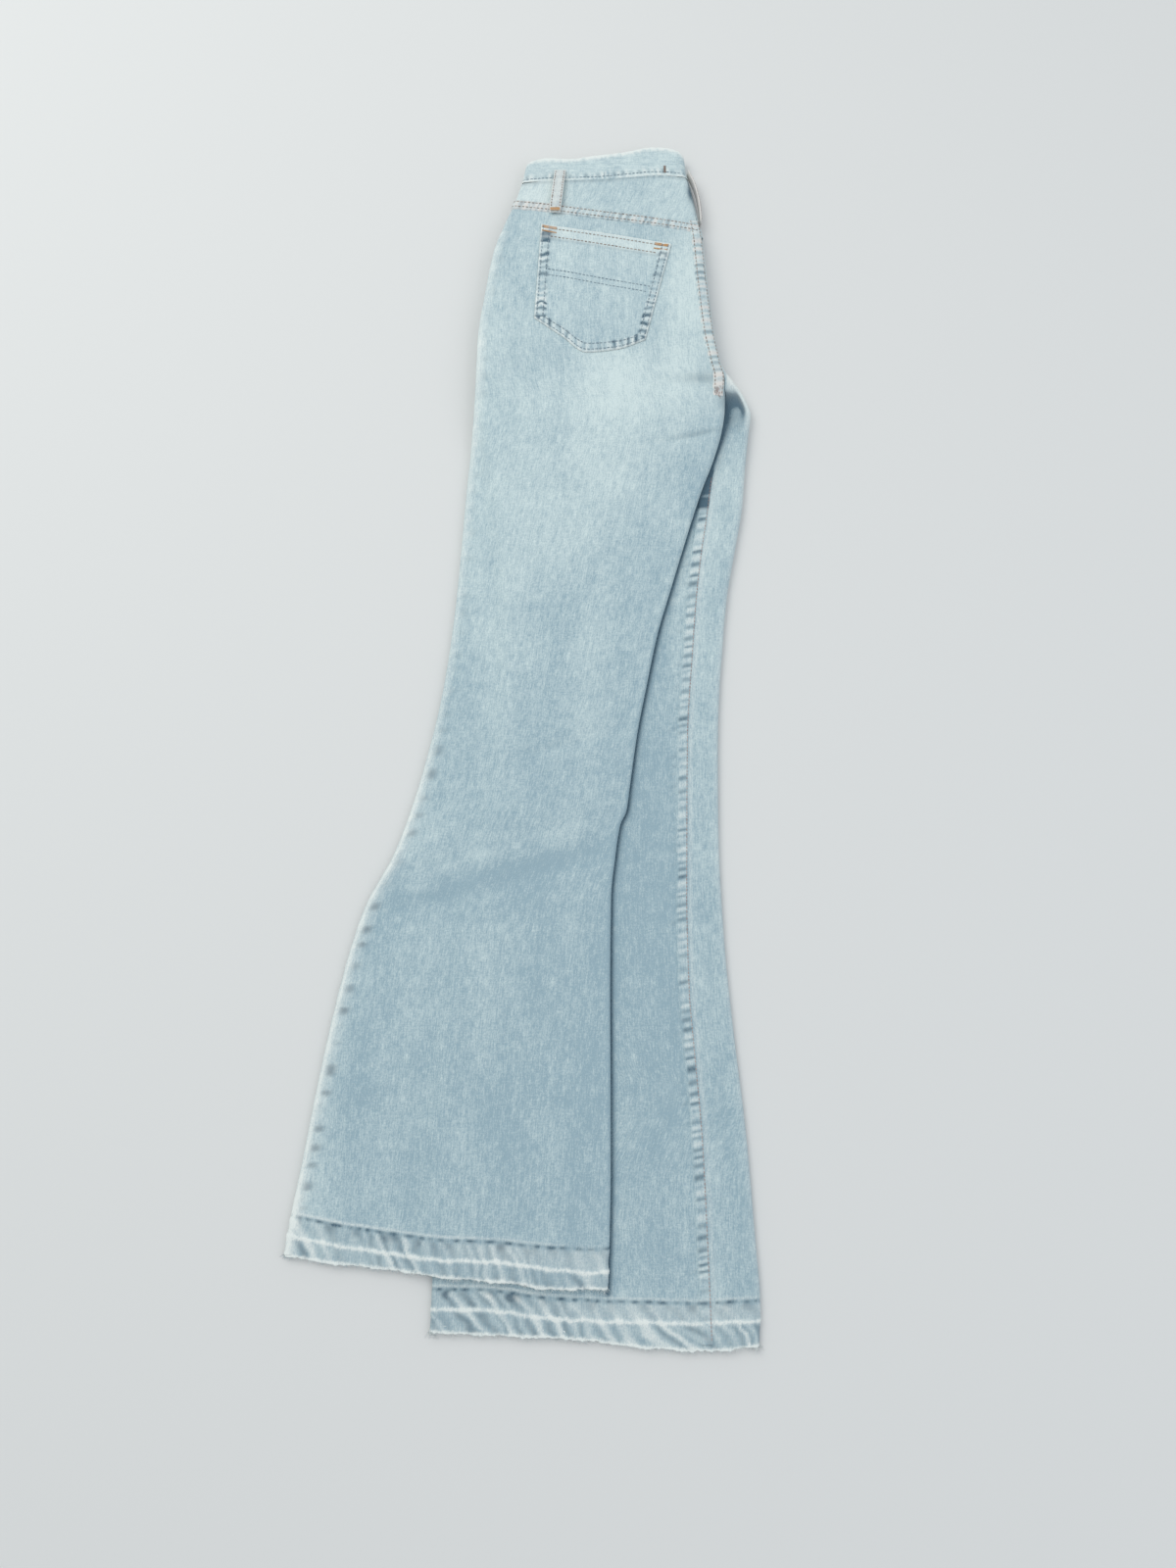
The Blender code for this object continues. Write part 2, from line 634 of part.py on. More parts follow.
def centreGarment():
    """Puts the origin on the floor under the middle of the garment's own box."""
    things = list(bpy.context.scene.collection.objects)
    corners = np.array([tuple(v.co) for thing in things for v in thing.data.vertices])
    middle = (corners.min(axis=0) + corners.max(axis=0)) / 2
    print("centre of the box", np.round(middle / mm, 3), "lowest", corners[:, 2].min() / mm)
    for thing in things:
        for vertex in thing.data.vertices:
            vertex.co.x -= middle[0]
            vertex.co.y -= middle[1]


def main():
    for thing in list(bpy.data.objects):
        bpy.data.objects.remove(thing)
    buildHiddenLayers()
    buildLeftBack()
    buildRightLeg()
    buildHems()
    buildWaistband()
    buildPocket()
    buildLoops()
    buildSeams()
    centreGarment()


main()
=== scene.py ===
# Pale flared jeans, folded in half down the centre back and laid flat on a floor.
# Sizes are in millimetres. "down" is the distance from the top of the waistband towards the hems,
# and x runs to the right across the folded jeans. The left leg lies on top, back panel up.

import math

import bmesh
import bpy
import numpy as np
from mathutils import Matrix, Vector


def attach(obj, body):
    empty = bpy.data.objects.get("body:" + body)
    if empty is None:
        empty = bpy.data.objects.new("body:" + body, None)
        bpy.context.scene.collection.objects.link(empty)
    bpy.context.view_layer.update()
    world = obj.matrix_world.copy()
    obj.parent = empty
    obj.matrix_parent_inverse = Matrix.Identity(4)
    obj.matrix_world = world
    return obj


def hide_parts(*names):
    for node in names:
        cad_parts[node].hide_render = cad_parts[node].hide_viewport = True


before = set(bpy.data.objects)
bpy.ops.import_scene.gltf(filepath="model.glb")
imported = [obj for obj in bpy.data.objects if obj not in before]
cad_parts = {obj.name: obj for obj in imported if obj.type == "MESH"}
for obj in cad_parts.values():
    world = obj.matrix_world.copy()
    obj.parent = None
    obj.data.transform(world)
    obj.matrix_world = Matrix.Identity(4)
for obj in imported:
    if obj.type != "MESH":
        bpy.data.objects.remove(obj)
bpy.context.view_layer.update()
mm = 0.001
origin = (0.153, 552.023)  # x and down at the middle of the folded jeans
rng = np.random.default_rng(7)
print("loaded", len(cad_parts), "nodes")

# both legs share the edge down to the crotch: distance down, x
seatEdge = (
    (0, 143), (23, 145), (40, 149), (67, 154), (103, 160), (151, 164), (207, 170), (235, 176),
)
garment = {
    # distance down, x
    "topOutseam": (
        (0, -10), (20, -12), (36, -15), (63, -23), (87, -32), (120, -42), (155, -48), (207, -55),
        (273, -57), (361, -64), (464, -71), (548, -81), (627, -98), (696, -120), (746, -145),
        (797, -160), (881, -177), (960, -190), (1028, -201), (1060, -203),
    ),
    "topInnerEdge": seatEdge + (
        (250, 180), (265, 178), (282, 177), (302, 174), (330, 166), (362, 154), (418, 136),
        (458, 124), (499, 112), (550, 101), (590, 93), (639, 86), (660, 83), (674, 77), (700, 73),
        (738, 69), (839, 68), (961, 68), (1014, 67), (1060, 65),
    ),
    "lowerInnerEdge": seatEdge + (
        (250, 186), (265, 196), (282, 202), (299, 200), (334, 196), (376, 192), (414, 185),
        (463, 176), (511, 171), (557, 167), (603, 165), (693, 164), (774, 167), (849, 173),
        (938, 182), (1029, 188), (1063, 190), (1104, 189),
    ),
    "lowerOutseam": (
        (0, -9), (20, -11), (63, -20), (120, -38), (207, -50), (273, -46), (361, -30), (464, -20),
        (548, -18), (627, -26), (696, -38), (746, -48), (797, -56), (881, -66), (960, -73),
        (1050, -79), (1104, -80),
    ),
    "inseam": (
        (260, 180), (302, 174.5), (330, 169), (348, 165), (385, 160), (416, 155), (464, 149),
        (511, 145), (593, 139), (683, 137), (754, 136), (818, 137), (860, 140), (941, 146),
        (1028, 149), (1104, 151),
    ),
    # distance down, height of one flattened leg
    "legHeight": (
        (0, 6.6), (40, 6.7), (90, 8.4), (150, 9.2), (250, 9.6), (300, 9.6), (361, 8.0), (464, 7.0),
        (627, 6.2), (881, 5.6), (1104, 5.3),
    ),
    # the crotch: distance down, top radius, top end angle, lower radius, lower start angle
    "crotchRolls": (
        (235, 1.00, 50, 1.00, 20), (250, 0.88, 50, 0.84, 55), (258, 0.78, 46, 0.72, 72),
        (264, 0.70, 20, 0.62, 84), (268, 0.62, -15, 0.56, 90), (273, 0.52, -60, 0.52, 90),
        (279, 0.50, -90, 0.50, 90),
    ),
    # share of the width from the outseam, distance down
    "waistTop": (
        (0, 21), (0.04, 15), (0.14, 12), (0.25, 13), (0.45, 9), (0.63, 5), (0.8, 0), (0.9, 1), (1, 8),
    ),
    "waistSeam": ((0, 40), (0.17, 38), (0.44, 37), (0.64, 34), (0.82, 32), (1, 34)),
    "yokeSeam": ((0, 64.5), (0.2, 69.5), (0.3, 72.5), (0.53, 79), (0.75, 85), (1, 93)),
    # distances down: the right panel sinks onto the leg below, its edge tucks under the top leg, comes out
    # again at the flare's outseam, and rolls under there
    "settles": (268, 290),
    "tucks": (279, 300),
    "emerges": (880, 980),
    "rollsUnder": (975, 1000),
    "tuck": 30.0,
    "crownRise": 1.4,  # how much the top leg stands up in its middle
    "drapeReach": 23.0,  # how wide the top leg takes to come down over the leg below
    "gap": 0.3,
    "crotch": 264.0,
    "waistLine": 20.0,
    "seatLine": 165.0,
}

folds = {
    # x and down at each end, width, height
    "top": (
        (-150, 752, 70, 684, 24, -1.6),  # the bend where the flare begins
        (-120, 700, 72, 640, 26, 1.2),
        (22, 604, 93, 584, 7, -1.0),  # a short crease above the knee
        (132, 256, 172, 253, 8, -1.3),  # creases that pull in to the crotch
        (128, 312, 170, 309, 9, -1.2),
        (120, 284, 176, 282, 12, 1.0),
        (-20, 420, 60, 520, 40, 1.0),
        (-90, 930, 30, 860, 45, -0.8),
        (-140, 860, -60, 980, 30, 0.8),
    ),
    "lower": (
        (176, 276, 196, 322, 7, -2.6),  # the hollow under the crotch
        (105, 500, 128, 720, 22, 0.7),
        (80, 690, 122, 740, 18, -1.0),
    ),
    # finer creases that only the cloth has
    "topFine": (
        (18, 606, 60, 596, 3.2, -0.55),
        (48, 598, 92, 585, 3.0, 0.5),
        (138, 254, 174, 250, 3.6, -0.9),
        (134, 268, 172, 266, 3.5, 0.7),
        (126, 313, 176, 302, 3.6, -1.0),
        (146, 326, 164, 326, 4.0, 0.35),
        (-150, 742, -60, 726, 7, 0.5),
        (-30, 728, 62, 700, 8, -0.5),
        (-60, 470, -20, 500, 10, 0.3),
        (-40, 250, 20, 244, 9, -0.35),
        (-175, 905, -120, 890, 10, 0.35),
    ),
    "lowerFine": (
        (181, 280, 197, 312, 2.6, -0.7),
        (186, 300, 196, 330, 4, 0.5),
        (128, 470, 120, 560, 6, -0.3),
    ),
}


def unit(value):
    # kept between 0 and 1
    return np.clip(value, 0, 1)


def ease(share):
    return share * share * (3 - 2 * share)


def smooth(value, low, high):
    # 0 below low, 1 above high and an even rise between
    return ease(unit((value - low) / (high - low)))


def mix(a, b, share):
    return a + (b - a) * share


def bell(value, width):
    return np.exp(-((value / width) ** 2))


def runOf(line):
    # the distance along a line of points, from its first
    return np.concatenate([[0], np.cumsum(np.linalg.norm(np.diff(line, axis=0), axis=1))])


def alongLine(distance, run, line):
    # where a line of points is after some distance, one axis at a time
    return np.array([np.interp(distance, run, axis) for axis in line.T])


def curve(rows, column=1):
    # a smooth line through one column of a table, which doesn't overshoot between rows
    x = np.array([row[0] for row in rows], float)
    y = np.array([row[column] for row in rows], float)
    slope = np.diff(y) / np.diff(x)
    tangent = np.concatenate([slope[:1], np.zeros(len(x) - 2), slope[-1:]])
    for i in range(1, len(x) - 1):
        if slope[i - 1] * slope[i] > 0:
            tangent[i] = 2 * slope[i - 1] * slope[i] / (slope[i - 1] + slope[i])

    def at(value):
        value = np.clip(value, x[0], x[-1])
        i = np.clip(np.searchsorted(x, value, side="right") - 1, 0, len(x) - 2)
        step = x[i + 1] - x[i]
        t = (value - x[i]) / step
        start = y[i] * (1 + 2 * t) * (1 - t) ** 2 + tangent[i] * step * t * (1 - t) ** 2
        return start + y[i + 1] * ease(t) - tangent[i + 1] * step * t * t * (1 - t)

    return at


topLeft, topRight = curve(garment["topOutseam"]), curve(garment["topInnerEdge"])
lowLeft, lowRight = curve(garment["lowerOutseam"]), curve(garment["lowerInnerEdge"])
inseamX, legHeight = curve(garment["inseam"]), curve(garment["legHeight"])
topRadius, topEnd, lowRadius, lowStart = [curve(garment["crotchRolls"], k) for k in (1, 2, 3, 4)]
waistTopAt, waistSeamAt = curve(garment["waistTop"]), curve(garment["waistSeam"])
yokeSeamAt = curve(garment["yokeSeam"])


def foldsAt(x, down, rows):
    # the height that the soft folds of a table add
    total = 0
    for x1, down1, x2, down2, width, height in rows:
        length = math.hypot(x2 - x1, down2 - down1)
        along, side = (x2 - x1) / length, (down2 - down1) / length
        run = (x - x1) * along + (down - down1) * side
        across = (x - x1) * side - (down - down1) * along
        past = np.maximum(np.maximum(-run, run - length), 0)
        total = total + height * bell(across, width) * bell(past, 0.4 * length)
    return total


def lowerTop(x, down):
    # the upper face of the leg that lies below
    inside = smooth(lowRight(down) - x, 2, 12)
    return legHeight(down) + inside * foldsAt(x, down, folds["lower"] + folds["lowerFine"])


def under(x, down):
    # what the top leg lies on: the leg below, then the floor
    edge = lowLeft(down)
    return (lowerTop(x, down) + garment["gap"]) * smooth(x, edge - garment["drapeReach"], edge - 1)


def topFace(x, down):
    left, right = topLeft(down), topRight(down)
    share = unit((x - left) / (right - left))
    inside = smooth(np.minimum(share, 1 - share), 0.02, 0.1)
    crown = garment["crownRise"] * 4 * share * (1 - share) * inside
    creases = inside * foldsAt(x, down, folds["top"] + folds["topFine"])
    return under(x, down) + legHeight(down) + crown + creases


def arc(middle, radius, start, end, steps):
    # points round a centre in a section, from one angle to another in degrees
    angles = np.radians(np.linspace(start, end, steps))
    return np.column_stack([np.cos(angles), np.sin(angles)]) * radius + middle


def topRolls(down):
    # centre and radius of the top leg's rolled edges, outseam first
    left, right = legHeight(down) / 2, topRadius(down) * legHeight(down)
    first, last = topLeft(down) + left, topRight(down) - right
    return (first, topFace(first, down) - left), left, (last, topFace(last, down) - right), right


def topSection(down):
    # the top leg in section, from under the outseam edge over the top to the inner edge
    leftMiddle, left, rightMiddle, right = topRolls(down)
    x = np.linspace(leftMiddle[0], rightMiddle[0], 180)
    return np.vstack([
        arc(leftMiddle, left, 270, 90, 30),
        np.column_stack([x, topFace(x, down)])[1:-1],
        arc(rightMiddle, right, 90, topEnd(down), 30),
    ])


def seamPoint(down):
    # where the right back panel begins: at the seat seam, then under the top leg
    _, _, middle, radius = topRolls(down)
    angle = math.radians(topEnd(down) - 4)
    onSeat = (middle[0] + radius * math.cos(angle), middle[1] + radius * math.sin(angle))
    share = smooth(down, garment["crotch"] + 6, garment["crotch"] + 15)
    return mix(onSeat[0], middle[0], share), mix(onSeat[1], lowerTop(middle[0], down), share)


def rightSection(down):
    # the right leg in section: from under the top leg over the inner edge and down to the floor
    radius = lowRadius(down) * legHeight(down)
    roll = arc((lowRight(down) - radius, radius), radius, lowStart(down), -90, 40)
    start = seamPoint(down)
    share = np.linspace(0, 1, 60)[:-1]
    x = mix(start[0], roll[0][0], share)
    straight = mix(start[1], roll[0][1], share)
    z = mix(straight, lowerTop(x, down), smooth(down, *garment["settles"]))
    hidden = garment["tuck"] * smooth(down, *garment["tucks"])
    side = legHeight(down) / 2
    first = mix(start[0] - hidden, lowLeft(down) + side, smooth(down, *garment["emerges"]))
    turn = 180 * smooth(down, *garment["rollsUnder"])
    before = np.linspace(first, start[0], 120)[:-1]
    return np.vstack([
        arc((first, lowerTop(first, down) - side), side, 90 + turn, 90, 20)[:-1],
        np.column_stack([before, lowerTop(before, down) if hidden > 0 else 0 * before + start[1]]),
        np.column_stack([x, z]),
        roll,
    ])


def sectionTable(section, downs, columns):
    # sections at even distances down, each as evenly spaced points of x, height and run
    rows = []
    for down in downs:
        points = section(down)
        run = runOf(points)
        even = np.linspace(0, run[-1], columns)
        rows.append(np.column_stack([*alongLine(even, run, points), even]))
    return np.array(rows)


def lay(rows, downs, target):
    # each column's points at their own distances down, and their runs
    place = (target - downs[0]) / (downs[1] - downs[0])
    low = np.clip(np.floor(place).astype(int), 0, len(downs) - 2)
    share = (place - low)[..., None]
    column = np.arange(target.shape[1])[None, :]
    found = mix(rows[low, column], rows[low + 1, column], share)
    return np.dstack([found[..., 0], target, found[..., 1]]), found[..., 2]


def inModel(points):
    # x, down, height in the jeans' frame, still in millimetres
    return np.dstack([points[..., 0] - origin[0], origin[1] - points[..., 1], points[..., 2]])


def facing(place):
    out = np.cross(np.gradient(place, axis=0), np.gradient(place, axis=1))
    return out / np.maximum(np.linalg.norm(out, axis=2), 1e-9)[..., None]


def turnIn(place, wall):
    # ends the last row in a small turned edge, so that the cloth shows its thickness
    out, last = facing(place)[-1], place[-1]
    away = last - place[-2]
    away /= np.linalg.norm(away, axis=1)[:, None]
    turns = ((0.3, 0.3), (0.3, 0.7), (0, 1), (-6, 1))  # mm past the edge, share of the wall
    extra = [last + away * past - out * wall * share for past, share in turns]
    return np.concatenate([place, np.array(extra)])


def meshOf(name, body):
    mesh = bpy.data.meshes.new(name)
    body.to_mesh(mesh)
    body.free()
    return mesh


def added(name, data):
    thing = bpy.data.objects.new(name, data)
    bpy.context.scene.collection.objects.link(thing)
    return thing


def clothPiece(name, place, run, tone, material, slot="denim", weld=False, warpAcross=False):
    # a grid of cloth: places in millimetres, with wear, painted light and shade, and weave coordinates at
    # each point
    rows, columns = place.shape[:2]
    cloth = bmesh.new()
    bmesh.ops.create_grid(cloth, x_segments=columns - 1, y_segments=rows - 1, size=1)
    mesh = meshOf(name, cloth)
    flat = np.zeros(len(mesh.vertices) * 3)
    mesh.vertices.foreach_get("co", flat)
    flat = flat.reshape(-1, 3)
    column = np.rint((flat[:, 0] + 1) / 2 * (columns - 1)).astype(int)
    row = np.rint((1 - flat[:, 1]) / 2 * (rows - 1)).astype(int)
    found = place[row, column] * mm
    found[:, 2] = np.maximum(found[:, 2], 0.03 * mm)  # nothing goes into the floor
    mesh.vertices.foreach_set("co", found.ravel())
    colour = np.concatenate([tone[row, column], np.ones((len(row), 1))], axis=1)
    mesh.attributes.new("tone", "FLOAT_COLOR", "POINT").data.foreach_set("color", colour.ravel())
    corner = np.zeros(len(mesh.loops), int)
    mesh.loops.foreach_get("vertex_index", corner)
    across = run[row, column] * mm
    along = place[row, column, 1] * mm
    pair = (along, across) if warpAcross else (across, along)
    weave = np.column_stack([part[corner] for part in pair])
    mesh.uv_layers.new(name="weave").data.foreach_set("uv", weave.ravel())
    if weld:  # its last column lies on its first
        cloth = bmesh.new()
        cloth.from_mesh(mesh)
        bmesh.ops.remove_doubles(cloth, verts=cloth.verts, dist=0.02 * mm)
        cloth.to_mesh(mesh)
        cloth.free()
    return shown(name, mesh, material)


def shown(name, mesh, material):
    mesh.shade_smooth()
    mesh.update()
    print(name, len(mesh.polygons), "faces, area", round(sum(face.area for face in mesh.polygons), 4))
    mesh.materials.append(materials[material])
    piece = added(name, mesh)
    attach(piece, "root")
    return piece


# Materials

def linear(code):
    # a hex colour in sRGB as Blender's linear numbers
    parts = [int(code[k:k + 2], 16) / 255 for k in (1, 3, 5)]
    return (*[p / 12.92 if p <= 0.04045 else ((p + 0.055) / 1.055) ** 2.4 for p in parts], 1)


def node(tree, kind, settings=(), inputs=()):
    # adds a node with its properties, and each input's value or the socket that feeds it
    made = tree.nodes.new(kind)
    for name, value in dict(settings).items():
        setattr(made, name, value)
    for name, value in dict(inputs).items():
        if isinstance(value, bpy.types.NodeSocket):
            tree.links.new(value, made.inputs[name])
        else:
            made.inputs[name].default_value = value
    return made.outputs


def matt(name, roughness, specular):
    # a new material with its shader's gloss set
    material = bpy.data.materials.new(name)
    material.use_nodes = True
    shader = material.node_tree.nodes["Principled BSDF"].inputs
    shader["Roughness"].default_value = roughness
    shader["Specular IOR Level"].default_value = specular
    return material, material.node_tree, shader


denim = {
    "faded": "#95afba",  # where the wash took least
    "pale": "#d1e1e1",
    "indigoAndShade": "#506a79",  # troughs beside seams, which the wash never reached, and painted shade in creases, hollows and beside the top leg's edge
    "bare": "#e4ebe8",  # warp worn down to its white core
    "tinted": "#dcdad6",  # the same on seams, where the brown thread's dye has run
    # millimetres across and along the leg, detail, roughness, how much it shades the cloth
    "textures": {
        "slub": (1.0, 9.0, 2, 0.5, 0.95),
        "streak": (3.2, 45.0, 2, 0.5, 0.36),
        "pick": (6.0, 1.0, 1, 0.5, 0.35),
        "mottle": (7.0, 9.0, 3, 0.6, 0.6),
        "cloud": (38.0, 52.0, 3, 0.5, 0.3),
        "grain": (1.3, 1.9, 2, 0.7, 0.95),
    },
    "wornBy": (("grain", 1.2), ("slub", 0.5)),  # how the textures break up dark and worn places
    "wornLeast": 0.15,
    "relief": (("slub", 0.5), ("grain", 0.5), ("mottle", 1.2)),
    "threadPitch": 0.9,  # mm; the real twill is about 0.5, too fine to show
    "twillRelief": 0.35,
    "roughness": 0.88,
    "specular": 0.25,
    "sheen": 0.12,  # fuzz on worn cotton, broad and faint
    "sheenRoughness": 0.6,
}


def washedDenim(name, shift=0.0, contrast=1.0, worn="bare", plain=False):
    # cotton twill, indigo warp on white weft, stone-washed: matt, streaked along the leg and mottled
    material, tree, shader = matt(name, denim["roughness"], denim["specular"])
    shader["Sheen Weight"].default_value = denim["sheen"]
    shader["Sheen Roughness"].default_value = denim["sheenRoughness"]
    weave = node(tree, "ShaderNodeUVMap", {"uv_map": "weave"})["UV"]
    if plain:  # a CAD node has no weave map, so its own place serves
        weave = node(tree, "ShaderNodeTexCoord")["Object"]
    tone = node(tree, "ShaderNodeAttribute", {"attribute_name": "tone"})["Color"]
    parts = node(tree, "ShaderNodeSeparateColor", (), {"Color": tone})
    times, timesPlus = {"operation": "MULTIPLY"}, {"operation": "MULTIPLY_ADD"}

    made = {}
    strengths = sum(row[4] for row in denim["textures"].values()) * contrast
    total = node(tree, "ShaderNodeMath", (), {0: parts["Red"], 1: shift - strengths / 2})[0]
    for label, (wide, long, detail, rough, strength) in denim["textures"].items():
        at = node(tree, "ShaderNodeVectorMath", times, {0: weave, 1: (1 / mm / wide, 1 / mm / long, 1)})[0]
        values = {"Vector": at, "Scale": 1.0, "Detail": detail, "Roughness": rough}
        made[label] = node(tree, "ShaderNodeTexNoise", {"noise_dimensions": "2D"}, values)["Fac"]
        shading = {0: made[label], 1: strength * contrast, 2: total}
        total = node(tree, "ShaderNodeMath", timesPlus, shading)[0]
    fadeAndShading = node(tree, "ShaderNodeClamp", (), {"Value": total})[0]

    patches = denim["wornLeast"]
    for label, strength in denim["wornBy"]:
        patches = node(tree, "ShaderNodeMath", timesPlus, {0: made[label], 1: strength, 2: patches})[0]
    clamped = {"operation": "MULTIPLY", "use_clamp": True}
    dark = node(tree, "ShaderNodeMath", clamped, {0: parts["Green"], 1: patches})[0]
    white = node(tree, "ShaderNodeMath", clamped, {0: parts["Blue"], 1: patches})[0]
    # the tone attribute's shares mix in the pale, indigo and worn colours; painted light and shade come in
    # through the first two
    base = linear(denim["faded"])
    for colour, share in (("pale", fadeAndShading), ("indigoAndShade", dark), (worn, white)):
        layer = {0: share, 6: base, 7: linear(denim[colour])}
        base = node(tree, "ShaderNodeMix", {"data_type": "RGBA"}, layer)[2]
    tree.links.new(base, shader["Base Color"])

    pitch = 1 / mm / denim["threadPitch"]
    at = node(tree, "ShaderNodeVectorMath", times, {0: weave, 1: (pitch, pitch * 0.6, 1)})[0]
    values = {"Vector": at, "Scale": 0.32, "Distortion": 1.2, "Detail": 1.0, "Detail Scale": 1.5}
    twill = node(tree, "ShaderNodeTexWave", {"bands_direction": "DIAGONAL"}, values)["Fac"]
    relief = node(tree, "ShaderNodeMath", times, {0: twill, 1: denim["twillRelief"]})[0]
    for label, height in denim["relief"]:
        relief = node(tree, "ShaderNodeMath", timesPlus, {0: made[label], 1: height, 2: relief})[0]
    bump = {"Strength": 0.55, "Distance": 0.6 * mm, "Height": relief}
    tree.links.new(node(tree, "ShaderNodeBump", (), bump)["Normal"], shader["Normal"])
    return material


thread = {"roughness": 0.75, "specular": 0.3, "patches": 90, "ply": 1800, "relief": 0.1 * mm}


def threadCotton(name, code, worn):
    # spun polyester-cotton sewing thread, faded by washing: a soft low gloss and uneven colour
    material, tree, shader = matt(name, thread["roughness"], thread["specular"])
    place = node(tree, "ShaderNodeTexCoord")["Object"]
    values = {"Vector": place, "Scale": thread["patches"], "Detail": 2.0}
    patch = node(tree, "ShaderNodeTexNoise", (), values)["Fac"]
    values = {"Vector": place, "Scale": thread["ply"], "Detail": 1.0}
    ply = node(tree, "ShaderNodeTexNoise", (), values)["Fac"]
    values = {"Value": patch, "From Min": 0.35, "From Max": 0.65}
    spread = node(tree, "ShaderNodeMapRange", (), values)["Result"]
    layer = {0: spread, 6: linear(code), 7: linear(worn)}
    tree.links.new(node(tree, "ShaderNodeMix", {"data_type": "RGBA"}, layer)[2], shader["Base Color"])
    bump = {"Strength": 0.4, "Distance": thread["relief"], "Height": ply}
    tree.links.new(node(tree, "ShaderNodeBump", (), bump)["Normal"], shader["Normal"])
    return material


materials = {
    "leg": washedDenim("washedIndigoDenim"),
    "seam": washedDenim("felledSeamDenim", contrast=1.25, worn="tinted"),
    "inner": washedDenim("innerDenim", shift=0.3, plain=True),
    "brown": threadCotton("fadedBrownThread", "#86786f", "#aca39c"),
    "slate": threadCotton("fadedSlateThread", "#6d7f8d", "#9fb0b8"),
    "orange": threadCotton("orangeBartackThread", "#c39a6e", "#c8ad94"),
    "pink": threadCotton("pinkishThread", "#a1837e", "#bcaca7"),
    "fray": threadCotton("looseWeftThread", "#e3e9e8", "#c4d2d6"),
}


# Wear and painted shade that several pieces share

def ripple(along, pitch, seed):
    # uneven puckers along a seam, from -1 to 1: crests and troughs of random length and height
    wild = np.random.default_rng(int(seed * 1000))
    count = int(4200 / pitch)
    knots = np.cumsum(pitch / 2 * wild.uniform(0.4, 1.6, count)) - 400
    heights = wild.uniform(0.15, 1.0, count) * np.where(np.arange(count) % 2, 1, -1)
    i = np.clip(np.searchsorted(knots, along) - 1, 0, count - 2)
    return mix(heights[i], heights[i + 1], smooth(along, knots[i], knots[i + 1]))


def patchy(x, down, wide, long, seed):
    # soft random patches from 0 to 1
    wild = np.random.default_rng(int(seed * 1000)).random((97, 89))
    a, b = (x + 400) / wide, (down + 200) / long
    i, j = np.floor(a).astype(int), np.floor(b).astype(int)
    near, far = [
        mix(wild[i % 97, row % 89], wild[(i + 1) % 97, row % 89], ease(a - i)) for row in (j, j + 1)
    ]
    return mix(near, far, ease(b - j))


washAndShade = {
    "base": 0.27,
    # x, down, half width, half length, how much paler (or bluer)
    "top": (
        (152, 150, 40, 90, 0.50), (60, 160, 120, 130, 0.16), (95, 262, 72, 46, 0.34),
        (70, 320, 80, 90, 0.26), (10, 430, 80, 170, 0.16), (-48, 380, 26, 230, 0.17),
        # the second mark on the next line darkens the valley where the flare begins: painted shade
        (-85, 600, 25, 90, 0.04), (-60, 735, 95, 40, -0.08),
        (40, 880, 50, 150, -0.14), (-60, 930, 70, 110, -0.06), (-170, 930, 22, 110, 0.14),
        (140, 340, 26, 50, -0.2), (-34, 180, 22, 70, 0.22),
    ),
    "lower": (
        (192, 340, 26, 90, 0.20), (160, 480, 30, 160, 0.14), (110, 640, 40, 200, -0.16),
        (160, 700, 30, 200, 0.10), (110, 930, 45, 160, -0.12), (128, 470, 14, 70, 0.24),
    ),
}


def marksAt(x, down, rows):
    # soft oval marks: x, down, half width, half length, strength
    return sum(strength * bell(x - a, wide) * bell(down - b, long) for a, b, wide, long, strength in rows)


hems = {
    "ropePitch": 13.0,  # the twisted ridges of wear across the old fold
    "stitchesAbove": 15.5,
    "begins": (-22, -17),
    "underColumns": 90,
    "underWall": 1.2,
    "underLift": 0.05,
}


def hemWear(x, down, leg, share, wide, calm, seed):
    # lift, indigo and white of a let-down hem, and how far the cloth above it counts. wide is how far the
    # old stitches ran above the worn ridge of the fold, and calm where the cloth has little wear.
    past, toEdge = down - curve(leg["ridge"])(share), curve(leg["raw"])(share) - down
    warp = 5 * (patchy(x, past, 9, 7, seed) - 0.5)
    slant = 1.6 * patchy(x, past * 0, 60, 50, seed + 1) - 0.2
    rope = ripple(x - slant * past + warp, hems["ropePitch"], seed)
    fine = ripple(x - 0.3 * past + warp, hems["ropePitch"] * 0.4, seed + 2)
    weight = 0.35 + 0.9 * patchy(x, past, 22, 9, seed + 6)
    above = calm * smooth(-past, 1, 4)
    weight = weight * (1 - 0.5 * above)
    wiggle = 0.8 * ripple(x, 26, seed + 7)
    seam = past + wide + 0.4 * wiggle
    band = smooth(seam, 0, 4)
    lift = band * (0.5 * rope + 0.15 * fine) + 0.65 * bell(past, 1.7) - 0.3 * bell(seam, 1.4)
    lift += 0.3 * ripple(x, 9, seed + 5) * smooth(-toEdge, -6, 0)
    dashes = unit(0.25 + 1.2 * ripple(x, 11, seed + 1))
    blots = unit(1.6 * ripple(x + warp, 21, seed + 3) - 0.1)
    indigoAndShade = bell(seam, 1.4) * (0.2 + 0.85 * dashes) + bell(seam - 3.5, 3.6) * blots * weight
    indigoAndShade += band * smooth(-rope, -0.1, 0.9) * 0.55 * weight * (1 - bell(past, 2.2))
    indigoAndShade += 0.12 * band * (1 - bell(past, 2.2))
    white = bell(past + wiggle, 1.5 + 0.5 * fine) * (0.9 + 0.3 * fine)
    white += bell(seam + 2.8, 1.1) * (0.25 + 0.45 * weight)
    white += band * 0.65 * smooth(rope, 0.0, 0.9) * weight + 0.08 * band + 0.14 * above * band
    white += 0.9 * smooth(-toEdge, -3.2 - 1.2 * fine, -0.3)
    hem = smooth(past, *hems["begins"])
    return lift * hem, indigoAndShade * hem, white * hem, 1 - hem


# The legs

